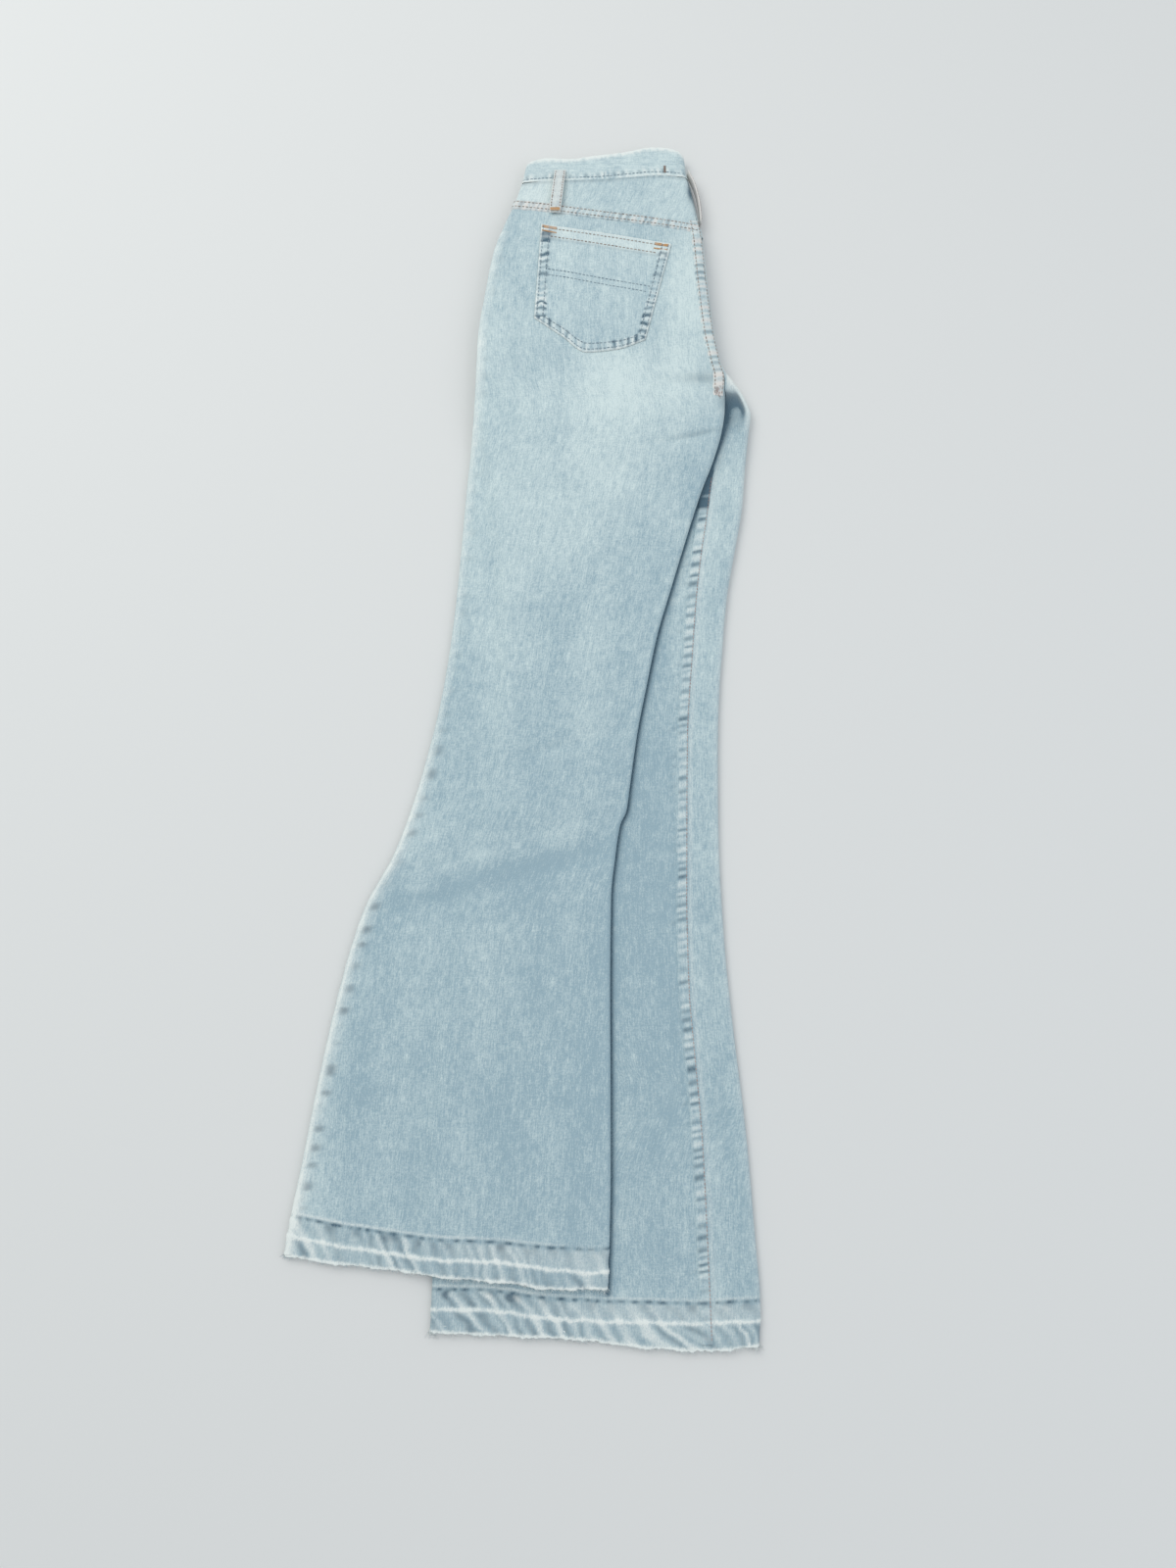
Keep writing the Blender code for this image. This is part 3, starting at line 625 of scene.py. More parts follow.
legCloth = {"columns": 150, "rowPitch": 2.2, "hemRowPitch": 1.25, "wall": 1.3}
leftLeg = {
    "seamPuckers": (19.0, 0.35),  # pitch and height beside the outseam
    "rows": (90, 1045, 1000),  # first and last, and where they come closer
    "hemLine": 1034,
    "underFrom": 940,
    # share of the width from the outseam, distance down
    "raw": (
        (0, 1031), (0.13, 1036), (0.27, 1040), (0.4, 1044), (0.55, 1048), (0.7, 1051), (0.85, 1056),
        (1, 1056),
    ),
    "ridge": (
        (0, 1015), (0.06, 1018), (0.19, 1024), (0.46, 1032.5), (0.67, 1035), (0.8, 1039.5), (0.95, 1043),
        (1, 1042.5),
    ),
}
rightLeg = {
    "rows": (93.3, 1098, 1046),
    "hemLine": 1088,
    "underFrom": 985,
    "raw": ((0, 1090), (0.16, 1092), (0.48, 1096), (0.62, 1101), (0.83, 1104), (0.92, 1103), (1, 1100)),
    "ridge": ((0, 1072), (0.17, 1073), (0.35, 1079), (0.6, 1082), (0.8, 1083), (1, 1081)),
}


def rowShares(start, end, bend, pitch=legCloth["rowPitch"], endPitch=legCloth["hemRowPitch"]):
    # even rows that come closer after one distance down, as shares of the whole
    rows = np.concatenate([np.arange(start, bend, pitch), np.arange(bend, end, endPitch), [end]])
    return (rows - start) / (end - start)


def topShare(x, down):
    return unit((x - topLeft(down)) / (topRight(down) - topLeft(down)))


def lowShare(x, down):
    return unit((x - lowLeft(down)) / (lowRight(down) - lowLeft(down)))


def frayed(edge, seed):
    # an uneven raw edge
    return 0.7 * ripple(edge, 7, seed) + 0.5 * ripple(edge, 3.1, seed + 3) + 0.9 * ripple(edge, 31, seed + 4)


topDowns = np.arange(garment["waistLine"], 1064, 2.0)
topTable = sectionTable(topSection, topDowns, legCloth["columns"])
rightDowns = np.arange(garment["waistLine"], 1112, 2.0)
rightTable = sectionTable(rightSection, rightDowns, legCloth["columns"])
print("leg sections ready")


def columnX(table, downs, down):
    return table[int(round((down - downs[0]) / (downs[1] - downs[0])))][:, 0]


def shareAt(table, downs, down):
    return topShare(columnX(table, downs, down), down)


def leftWearAndShade(x, down):
    # lift of the left leg's cloth in millimetres, and its fade, indigo and white, which also carry painted
    # light and shade
    share = topShare(x, down)
    left, right = x - topLeft(down), topRight(down) - x
    wide = hems["stitchesAbove"] + 2.8 * smooth(share, 0.7, 0.95)
    lift, indigoAndShade, white, body = hemWear(x, down, leftLeg, share, wide, smooth(share, 0.35, 0.7), 0.4)
    pitch, height = leftLeg["seamPuckers"]
    wave = ripple(down + 0.4 * left, pitch, 2.2)
    near = bell(left - 7, 7) * smooth(down, 90, 130)
    flare = smooth(down, 560, 660)
    lift += near * wave * height * body * (0.5 + 0.5 * flare)
    dips = smooth(-ripple(down, 17, 2.2), 0.05, 0.75)
    indigoAndShade += bell(left - 8.5, 4.2) * dips * (0.12 + 0.7 * flare) * body
    white += (bell(left - 1.5, 2.2) * (0.15 + 0.2 * flare) + 0.24 * bell(left - 6, 6) * flare) * body
    white += 0.6 * bell(left - 3, 5.5) * smooth(down, 960, 1010)
    white += bell(left - 4, 4) * 0.2 * unit(wave) * body
    # waves that run out from the yoke seam, and long shallow ripples down the leg
    lift += bell(down - yokeSeamAt(share), 26) * 0.22 * ripple(x, 17, 1.1)
    lift += 0.10 * np.sin(down / 31 + x / 70) * np.sin(x / 23 - down / 190) * body
    lift += 0.35 * bell(x + 38 - (down - 90) * 0.02, 9) * bell(down - 120, 60) * body
    fadeAndShading = washAndShade["base"] + marksAt(x, down, washAndShade["top"])
    fadeAndShading += 0.05 * np.sin(x / 11 + down / 160) * body
    fadeAndShading += 0.06 * ripple(x, 19, 6.1) * bell(down - 250, 90)
    fadeAndShading += 0.16 * (patchy(x, down, 46, 70, 8) - 0.5) + 0.16 * (patchy(x, down, 15, 24, 9) - 0.5)
    # painted shade along the top leg's inner edge
    fadeAndShading -= 0.3 * bell(right, 2.0) * smooth(down, 420, 520)
    # a soft fold that runs up across the knee from the bend of the outseam, with painted light above it and
    # painted shade below it
    off = down - 732 + 0.283 * (x + 112)
    reach = smooth(x, -130, -85) * (1 - smooth(x, 30, 95))
    lift += 0.9 * bell(off + 4, 13) * reach
    fadeAndShading += (0.12 * bell(off + 12, 12) - 0.2 * bell(off - 9, 11)) * reach
    white += 0.4 * bell(left - 3, 5) * bell(down - 225, 110) * patchy(x, down, 9, 26, 15)
    # painted shade on the top leg's inner edge at the crotch
    indigoAndShade += 0.35 * bell(down - 268, 16) * bell(right - 2, 4)
    # two dark creases that pull in to the crotch
    indigoAndShade += 0.35 * bell(x - 158, 17) * bell(down - 251, 5)
    indigoAndShade += 0.32 * bell(x - 151, 22) * bell(down - 307 + 0.22 * (x - 151), 2.4)
    return lift, np.dstack([fadeAndShading, indigoAndShade, white])


def shaded(down):
    # painted shade where puckers lie in the gap between the top leg and the inseam
    return smooth(down, 334, 343) * (1 - smooth(down, 374, 380)) * (1 - 0.5 * bell(down - 365, 3.0))


def rightWearAndShade(x, down):
    share = lowShare(x, down)
    seam, rim = x - inseamX(down), lowRight(down) - x
    wide, calm = hems["stitchesAbove"], smooth(share, 0.25, 0.5)
    lift, indigoAndShade, white, body = hemWear(x, down, rightLeg, share, wide, calm, 3.4)
    leg = smooth(down, 300, 350)
    wave = ripple(down + 0.3 * seam, 9, 1.3)
    near = bell(seam + 11, 5) * leg
    lift += near * wave * 0.2 * body
    indigoAndShade += near * unit(-wave - 0.2) * 0.3 * body
    lift += bell(seam - 5, 5) * leg * body * ripple(down, 17, 4.0) * 0.15
    white += bell(rim, 4.0) * 0.18 * leg * body
    lift += 0.08 * np.sin(down / 27 + x / 50) * np.sin(x / 17 - down / 150) * body * leg
    fadeAndShading = washAndShade["base"] + marksAt(x, down, washAndShade["lower"])
    fadeAndShading += 0.12 * bell(seam - 6, 7) * leg
    fadeAndShading += 0.14 * (patchy(x, down, 40, 70, 4) - 0.5) + 0.16 * (patchy(x, down, 14, 22, 5) - 0.5)
    # painted shade on the leg below, beside the top leg's edge
    fadeAndShading -= 0.25 * bell(x - topRight(down), 6) * leg * body
    fadeAndShading += 0.35 * (1 - smooth(down, 200, 300))
    # the shadowed fold beside the top leg, deep where it leaves the crotch
    beside = x - topRight(down)
    deep = 1 - smooth(down, 335, 380)
    width = 2.3 + 2.9 * (1 - smooth(down, 290, 330))
    indigoAndShade += (1.0 + 0.3 * deep) * bell(beside - 0.3, width) * smooth(down, 260, 266) * body
    indigoAndShade += 1.2 * shaded(down) * smooth(beside, -2, 1) * (1 - smooth(seam, -1.5, 0.5))
    white += 0.25 * bell(seam - 2, 1.6) * leg * body
    # painted shade in the hollow under the seat seam's end and in the crease beside it, and the seam's rim
    # that curls round it
    hollow = bell(down - 269, 5.5) * smooth(beside, -4, 0) * smooth(rim, 3.5, 7)
    indigoAndShade += 1.8 * hollow + 0.4 * bell(down - 280, 13) * smooth(rim, 5, 9)
    curl = bell(rim - 1.5, 3.4) * bell(down - 272, 24)
    crease = bell(rim - 6.5, 2.2) * bell(down - 275, 12)
    lift += 0.7 * curl - 0.9 * crease - 0.8 * hollow
    indigoAndShade += 1.2 * crease
    fadeAndShading += 0.45 * curl
    white += 0.6 * curl + 0.8 * bell(down - 250, 11) * smooth(beside, -2, 1)
    return lift, np.dstack([fadeAndShading, indigoAndShade, white])


def raised(points, lift):
    place = inModel(points)
    return place + facing(place) * lift[..., None]


def withTurn(place, run, tone, wall):
    # the raw edge turned in, with the wear and weave of the last row on it
    place = turnIn(place, wall)
    grow = ((0, place.shape[0] - run.shape[0]), (0, 0))
    tone = np.dstack([np.pad(tone[..., k], grow, mode="edge") for k in range(3)])
    return place, np.pad(run, grow, mode="edge"), tone


def leftLegPiece():
    across = shareAt(topTable, topDowns, garment["seatLine"])
    hemLine = leftLeg["hemLine"]
    hemX = columnX(topTable, topDowns, hemLine)
    start = yokeSeamAt(across) + garment["gap"]
    raw = curve(leftLeg["raw"])(topShare(hemX, hemLine)) + frayed(hemX, 1)
    shares = rowShares(*leftLeg["rows"])
    points, run = lay(topTable, topDowns, mix(start[None, :], raw[None, :], shares[:, None]))
    lift, tone = leftWearAndShade(points[..., 0], points[..., 1])
    run = run - run[:, legCloth["columns"] // 2][:, None]
    return withTurn(raised(points, lift), run, tone, legCloth["wall"])


def rightLegPiece():
    hemLine = rightLeg["hemLine"]
    hemX = columnX(rightTable, rightDowns, hemLine)
    raw = curve(rightLeg["raw"])(lowShare(hemX, hemLine)) + frayed(hemX, 5)
    shares = rowShares(*rightLeg["rows"])
    down = mix(yokeSeamAt(1) + garment["gap"], raw[None, :], shares[:, None])
    points, run = lay(rightTable, rightDowns, down)
    lift, tone = rightWearAndShade(points[..., 0], down)
    # the weave runs from the inseam, which lies within the first 110 columns
    seam = [np.interp(inseamX(d[0]), xs[:110], rs[:110]) for d, xs, rs in zip(down, points[..., 0], run)]
    return withTurn(raised(points, lift), run - np.array(seam)[:, None], tone, legCloth["wall"])


def hemUnderside(left, right, rest, leg, seed):
    # the lower layer of a hem's tube, from one rolled edge to the other
    shares = rowShares(0, 1.0, 0.4, 0.05, 0.025)
    share = np.linspace(0, 1, hems["underColumns"])
    side = legHeight(1060) / 2
    raw = curve(leg["raw"])(share)
    raw = raw + frayed(mix(left(raw) + side, right(raw) - side, share), seed)
    down = mix(leg["underFrom"], raw[None, :], shares[:, None])
    x = mix(left(down) + side, right(down) - side, share[None, :])
    place = inModel(np.dstack([x, down, rest(x, down) + hems["underLift"]]))
    place[..., 2] += np.abs(0.18 * smooth(down - raw, -14, 0) * ripple(x, 14, seed))
    # turned over, so that it faces down
    place, down, raw, x = place[:, ::-1], down[:, ::-1], raw[::-1], x[:, ::-1]
    white = 0.8 * smooth(down - raw, -3, -0.5) + 0.2
    tone = np.dstack([0.3 + 0 * x, 0.25 * unit(ripple(x, 14, seed)), white])
    return withTurn(place, x, tone, hems["underWall"])


leftLegGrid, rightLegGrid = leftLegPiece(), rightLegPiece()
leftLegCloth = clothPiece("leftLeg", *leftLegGrid, "leg")
rightLegCloth = clothPiece("rightLeg", *rightLegGrid, "leg")
leftUnder, rightUnder = [
    clothPiece(name, *hemUnderside(left, right, rest, leg, seed), "leg", "hem_denim")
    for name, left, right, rest, leg, seed in (
        ("leftHemUnderside", topLeft, topRight, under, leftLeg, 2.0),
        ("rightHemUnderside", lowLeft, lowRight, lambda x, down: 0 * x, rightLeg, 6.0),
    )
]
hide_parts("left_back_leg", "left_leg_hem")
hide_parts("left_leg_hem")
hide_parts("right_front_leg", "right_back_leg", "right_leg_hem")
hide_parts("right_leg_hem")
print("legs done")


# Yokes, waistband, pocket and loops

yoke = {
    "line": 60,
    "long": 40,
    "rowPitch": 1.6,
    "fadeAndShading": 0.62,
    "under": 2.5,  # how far it reaches under the waistband
}


def yokeWearAndShade(x, down, across):
    top, foot = down - waistSeamAt(across), yokeSeamAt(across) - down
    wave = ripple(x + 0.15 * down, 9, 3.1)
    lift = 0.2 * wave * bell(top, 5) + 0.2 * ripple(x, 12, 1.1) * bell(foot, 8)
    lift += 0.15 * np.sin(x / 12 + down / 9)
    lift = mix(lift, -1.3, smooth(-top, -0.4, 0.4))
    outer = 1 - smooth(x, 8, 40)  # worn paler towards the outseam
    fadeAndShading = yoke["fadeAndShading"] + 0.2 * outer - 0.06 * bell(x - 120, 22)
    fadeAndShading = fadeAndShading + 0.3 * (patchy(x, down, 26, 22, 3) - 0.5)
    indigoAndShade = 0.35 * bell(top - 1.5, 1.6) + 0.2 * unit(-wave) * bell(top, 4)
    indigoAndShade += 0.25 * unit(-ripple(x, 12, 1.1)) * bell(foot - 5, 2)
    # shadowed cloth behind the centre loop
    indigoAndShade += 0.9 * bell(x - 149, 3) * bell(down - 50, 8) + 1.5 * bell(x - 158, 8) * bell(down - 50, 13)
    return lift, np.dstack([fadeAndShading, indigoAndShade, 0.12 * unit(wave) * bell(top, 8) + 0.22 * outer])


def leftYokePiece():
    across = shareAt(topTable, topDowns, yoke["line"])
    start, end = waistSeamAt(across) - yoke["under"], yokeSeamAt(across)
    shares = rowShares(0, yoke["long"], yoke["long"], yoke["rowPitch"])
    points, run = lay(topTable, topDowns, mix(start[None, :], end[None, :], shares[:, None]))
    lift, tone = yokeWearAndShade(points[..., 0], points[..., 1], across[None, :])
    return raised(points, lift), run, tone


def rightYokePiece():
    rows = np.linspace(waistSeamAt(1) + garment["gap"], yokeSeamAt(1), 38)
    down = rows[:, None] + np.zeros((1, 24))
    table = sectionTable(rightSection, rightDowns[:40], 24)
    points, run = lay(table, rightDowns[:40], down)
    # height stands in for x here, so that the painted shade behind the centre loop darkens the low cloth of
    # this panel
    lift, tone = yokeWearAndShade(points[..., 2] * 1.3 + 150, down, 1.0)
    return raised(points, lift * 0.6), run, tone


waistband = {
    "thick": 2.7,
    "air": 1.0,
    "columns": 460,
    "round": 1.35,  # the top edge is a fold
    "fadeAndShading": 0.66,
    "over": 1.6,  # how far the folds below reach over the cloth inside
}


def waistLoop():
    # the band's middle line in section: four layers, three folds inside and one outside
    left, right = topLeft(garment["waistLine"]), topRight(garment["waistLine"])
    pitch = waistband["thick"] + waistband["air"]
    heights = [waistband["thick"] / 2 + pitch * k for k in range(4)]
    turn, outerTurn = pitch / 2, pitch * 1.5
    leftTurn = left + turn + waistband["thick"] / 2
    rightTurn = right - outerTurn - waistband["thick"] / 2
    middle = (heights[0] + heights[3]) / 2

    def layer(start, end, height):
        x = np.linspace(start, end, 120)
        return np.column_stack([x, height + 0 * x])

    return np.vstack([
        layer(rightTurn, leftTurn, heights[3]),
        arc((leftTurn, heights[3] - turn), turn, 90, 270, 20)[1:-1],
        layer(leftTurn, rightTurn - 0.4, heights[2]),
        arc((rightTurn - 0.4, middle), turn, 90, -90, 20)[1:-1],
        layer(rightTurn - 0.4, leftTurn, heights[1]),
        arc((leftTurn, heights[1] - turn), turn, 90, 270, 20)[1:-1],
        layer(leftTurn, rightTurn, heights[0]),
        arc((rightTurn, middle), outerTurn, -90, 90, 40)[1:],
    ])


def waistbandPiece():
    line = waistLoop()
    run = runOf(line)
    even = np.linspace(0, run[-1], waistband["columns"])
    x, z = alongLine(even, run, line)
    loop = np.column_stack([x, z])[:-1]
    along = np.roll(loop, -1, axis=0) - np.roll(loop, 1, axis=0)
    along = np.vstack([along, along[:1]])
    along /= np.linalg.norm(along, axis=1)[:, None]
    nx, nz = along[:, 1], -along[:, 0]
    left, right = topLeft(garment["waistLine"]), topRight(garment["waistLine"])
    across = topShare(x, garment["waistLine"])
    outer = waistband["thick"] * 3.5 + waistband["air"] * 3
    outside = np.maximum(bell(z - outer, 2.0), smooth(x, right - 7, right - 2))
    high = waistTopAt(across) + 0.35 * ripple(even, 9, 1.7) * outside
    low = waistSeamAt(across) - garment["gap"]
    low += waistband["over"] * (1 - smooth(z, 6, 9)) * (1 - smooth(x, right - 9, right - 3))
    half, bend = waistband["thick"] / 2, waistband["round"]
    rows = [(mix(low, high + bend, share), 1.0) for share in np.linspace(0, 1, 24)]
    for angle in np.radians((30, 60, 90, 120, 150)):
        rows.append((high + bend * (1 - math.sin(angle)), math.cos(angle)))
    rows += [(mix(high + bend, low, share), -1.0) for share in np.linspace(0, 1, 14)]
    place, tone = [], []
    for down, side in rows:
        fromTop, fromSeam = down - high, low - down
        wave = ripple(even + 0.15 * down, 7.5, 2.0)
        crest = unit(wave)
        slack = patchy(even, down, 16, 12, 12.0) - 0.5
        swell = 0.2 * wave * (bell(fromSeam, 5) + 0.5 * bell(fromTop, 4)) + 0.45 * slack
        swell = swell * outside - 0.22 * bell(fromSeam - 3.4, 0.9) - 0.25 * bell(fromSeam, 0.8)
        offset = half * side + swell * (side > 0)
        shift = mix(topLeft(down) - left, topRight(down) - right, across)
        place.append(np.column_stack([
            x + shift + nx * offset - origin[0], origin[1] - down, z + nz * offset,
        ]))
        fadeAndShading = waistband["fadeAndShading"] + 0.12 * wave * bell(fromSeam, 4) - 0.08 * bell(across - 0.55, 0.1)
        fadeAndShading += 0.3 * slack
        indigoAndShade = unit(-wave) * (0.6 * bell(fromSeam - 5, 2.2) + 0.15 * bell(fromTop - 5, 2))
        white = (1.4 + 0.7 * wave + slack) * bell(fromTop - 0.5, 3.2) + 0.6 * bell(fromSeam - 0.7, 1.1)
        white += crest * (0.4 * bell(fromSeam - 2, 4) + 0.8 * bell(fromSeam - 6, 2.8))
        white += 0.3 * (1 - smooth(across, 0.05, 0.3)) * (0.6 + slack)
        tone.append(np.column_stack([fadeAndShading, indigoAndShade, white]))
    return np.array(place), np.tile(even, (len(rows), 1)), np.array(tone)


pocket = {
    "corners": ((4, 89), (129, 111)),  # x and down of the opening's ends
    "foot": ((0, -2, 190), (0.22, 24, 209), (0.5, 48, 226), (0.75, 76, 223), (1, 103, 213)),
    "thick": 1.1,
    "band": 15.0,  # the turned and stitched opening
    "bandRise": 0.55,
    "border": 8.5,  # how far the felled edge reaches in
    "wide": (127, 106),  # at the opening and at the foot
    "sewn": (118, 112),  # across and down, for the rows of stitches
    "sideRows": (2.2, 7.6),  # stitches, from the sides and the foot
    "openingRows": (4.0, 12.6),  # stitches, from the opening
    "plainRows": (48, 54),
}


def edged(count, width):
    # even places from 0 to 1, with three more close to each end for a rounded edge
    close = np.array([0, 0.35, 0.8, 1.5]) / width
    return np.concatenate([close, np.linspace(2.6 / width, 1 - 2.6 / width, count), 1 - close[::-1]])


def pocketPiece():
    u, v = edged(96, 120), edged(92, 115)
    first, last = np.array(pocket["corners"], float)
    footX, footDown = curve(pocket["foot"], 1), curve(pocket["foot"], 2)
    across, along = np.meshgrid(u, v)
    start = first + (last - first) * across[..., None]
    x = mix(start[..., 0], footX(across), along)
    down = mix(start[..., 1], footDown(across), along)
    wide, long = mix(*pocket["wide"], along), footDown(across) - start[..., 1]
    fromSide = np.minimum(across, 1 - across) * wide
    fromTop, fromFoot = along * long, (1 - along) * long
    inward = np.minimum(fromSide, fromFoot)
    inset = np.minimum(inward, fromTop)
    edge = np.sqrt(unit(1 - (1 - unit(inset / 1.3)) ** 2))
    around = np.where(fromFoot < fromSide, x * 1.05, down)
    wave = ripple(around + 3 * (patchy(x, down, 5, 5, 2) - 0.5), 7.5, 2.6)
    part = 0.45 + 0.8 * patchy(x, down, 14, 16, 3)
    border = smooth(-inward, -pocket["border"] - 2, -pocket["border"] + 1)
    band = smooth(-fromTop, -pocket["band"] - 0.6, -pocket["band"] + 0.6)
    lift = 0.35 + pocket["thick"] * edge + pocket["bandRise"] * band * edge
    lift += border * (0.35 + 0.28 * wave) * edge
    for row in pocket["sideRows"]:
        lift -= 0.2 * bell(inward - row, 0.8) * (fromTop > 3)
    for row in pocket["openingRows"]:
        lift -= 0.2 * bell(fromTop - row, 0.8) * (inward > 3)
    lift += 0.25 * ripple(x, 13, 5.0) * bell(fromTop - 8, 6) * band
    lift += 0.3 * np.sin(x / 17 + down / 24) * smooth(inset, 8, 20)
    lift += 0.5 * bell(fromTop - 2, 7) * np.sin(np.pi * across) ** 2  # the opening stands off a little
    fadeAndShading = 0.48 + 0.12 * bell(down - 120, 22) - 0.02 * border + 0.22 * band
    fadeAndShading += 0.06 * ripple(x, 22, 7.0)
    indigoAndShade = border * unit(-wave - 0.02) * 1.15 * part
    indigoAndShade += 0.5 * bell(inward - 8.8, 1.2) * unit(0.3 - wave) * part
    indigoAndShade += 1.1 * bell(x - 9, 6.5) * bell(down - 101, 5.5) + 0.25 * bell(fromTop - 14.8, 1.1)
    white = border * unit(wave) * 0.8 * part + 0.18 * band
    white += 0.7 * bell(inset, 1.1) + 0.25 * bell(fromTop - 0.5, 1.4)
    place = raised(np.dstack([x, down, topFace(x, down) + leftWearAndShade(x, down)[0]]), lift)
    return (place, x, np.dstack([fadeAndShading, indigoAndShade, white])), (u, v)


loops = {
    "wide": 11.0,
    "thick": 1.7,
    "bow": 3.2,
    "back": ((22, 27), (17, 77)),  # x and down of its ends
    "centre": (25, 82),  # down of its ends, along the inner edge
    "centreHeight": 2.2,
}


def loopPiece(centres, wideWay, outWay, seed, worn=0.45):
    # a folded strip with rounded sides along a line of centres, flattened at both ends
    angle = np.radians(np.linspace(180, -180, 29))
    across = np.sign(np.cos(angle)) * np.abs(np.cos(angle)) ** 0.35 * loops["wide"] / 2
    away = np.sign(np.sin(angle)) * np.abs(np.sin(angle)) ** 0.6 * loops["thick"] / 2
    share = np.linspace(0, 1, len(centres))
    full = 0.25 + 0.75 * smooth(np.minimum(share, 1 - share), 0.0, 0.06)
    wave = ripple(share * 50, 8, seed)
    fromMiddle = np.abs(across)
    rim, groove = smooth(fromMiddle, 4.2, 5.3), 0.16 * bell(fromMiddle - 3.6, 0.8)
    place, tone = [], []
    for k, middle in enumerate(centres):
        rise = away * full[k] + (0.12 * wave[k] - groove) * (away > 0)
        place.append(middle + np.outer(across, wideWay) + np.outer(rise, outWay))
        tone.append(np.column_stack([
            0.82 + 0.1 * wave[k] + 0 * across,
            0.35 * bell(fromMiddle - 3.2, 1.0) * unit(0.4 - wave[k]),
            worn + rim * (0.3 + 0.2 * wave[k]),
        ]))
    return np.array(place), np.tile(across, (len(centres), 1)), np.array(tone)


def loopCentres():
    top = 4 * waistband["thick"] + 3 * waistband["air"]
    (firstX, firstDown), (lastX, lastDown) = loops["back"]
    back, edge = [], []
    for share in np.linspace(0, 1, 56):
        bow = loops["bow"] * math.sin(math.pi * share) ** 0.7
        down, x = mix(firstDown, lastDown, share), mix(firstX, lastX, share)
        flat = topFace(x, down) + (1.2 if down > 60 else 0)
        carrier = mix(max(top, flat), flat, smooth(down, 70, lastDown)) if down > 39 else top
        back.append((x - origin[0], origin[1] - down, carrier + 0.4 + bow + loops["thick"] / 2))
        down = mix(*loops["centre"], share)
        x = topRight(down) + 0.5 + bow + loops["thick"] / 2
        edge.append((x - origin[0], origin[1] - down, loops["centreHeight"] + loops["wide"] / 2))
    return np.array(back), np.array(edge)


# Felled seams, as bands of puckered cloth

felled = {"wide": 10.6, "high": 1.35, "sunk": 0.15, "rows": 13, "reach": 3.0}


def bandProfile(share):
    return 1 - np.abs(2 * share - 1) ** 6


def bandLift(share, puckers):
    return (felled["high"] + puckers) * bandProfile(share) - felled["sunk"]


def yokeBand():
    downs = np.arange(50, 104, 1.0)
    table = sectionTable(topSection, downs, 330)
    across = shareAt(table, downs, 80)
    share = np.linspace(0, 1, felled["rows"])[:, None]
    down = yokeSeamAt(across)[None, :] + (share - 0.5) * felled["wide"]
    points, run = lay(table, downs, down)
    wave = ripple(run + 3 * (patchy(run, down, 6, 4, 8) - 0.5), 6.5, 3.3)
    lift = bandLift(share, 0.2 * wave) - 0.2 * (bell(share - 0.22, 0.07) + bell(share - 0.78, 0.07))
    fadeAndShading = 0.62 + 0.2 * wave
    indigoAndShade = unit(-wave - 0.1) * 0.75 * (0.2 + patchy(run, down, 22, 5, 7))
    indigoAndShade += 0.35 * (bell(share, 0.1) + bell(share - 1, 0.1))
    white = 0.1 + unit(wave) * 0.7 * (0.3 + patchy(run, down, 18, 5, 9))
    white += 0.35 * (1 - smooth(points[..., 0], 10, 40))
    return raised(points, lift), run, np.dstack([fadeAndShading, indigoAndShade, white])


def seatSection(down):
    _, _, middle, radius = topRolls(down)
    reach = felled["reach"] * (1 + 0.9 * smooth(down, 225, 258))
    x = np.linspace(middle[0] - reach, middle[0], 12)[:-1]
    face = np.column_stack([x, topFace(x, down)])
    return np.vstack([face, arc(middle, radius, 90, mix(36, 50, smooth(down, 215, 250)), 24)])


def inseamSection(down):
    right = inseamX(down) - 0.5
    x = np.linspace(right - felled["wide"], right, 30)
    return np.column_stack([x, lowerTop(x, down)])


def outseamSection(down):
    middle, radius, _, _ = topRolls(down)
    x = np.linspace(middle[0], middle[0] + 4.5, 12)[1:]
    return np.vstack([arc(middle, radius, 185, 90, 20), np.column_stack([x, topFace(x, down)])])


def rightYokeSection(down):
    return rightSection(down)[-45:]


def seamBand(section, start, end, columns, pitch, look, extra=None):
    # a felled seam that runs down the garment
    puckers, height, fadeAndShading, indigoAndShade, white = look
    downs = np.arange(start, end + 3, 1.5)
    table = sectionTable(section, downs, columns)
    rows = int((end - start) / pitch)
    down = np.linspace(start, end, rows)[:, None] + np.zeros((1, columns))
    points, run = lay(table, downs, down)
    share = np.linspace(0, 1, columns)[None, :]
    wave = ripple(down + 2 * (share - 0.5), puckers, 1.3)
    lift = bandLift(share, height * wave)
    dips = unit(-wave - 0.05)
    tone = np.dstack([fadeAndShading + 0.1 * wave, indigoAndShade * dips, white * unit(wave + 0.15)])
    if extra is not None:
        lift, tone = extra(points[..., 0], down, share, lift, tone)
    return raised(points, lift), run, tone


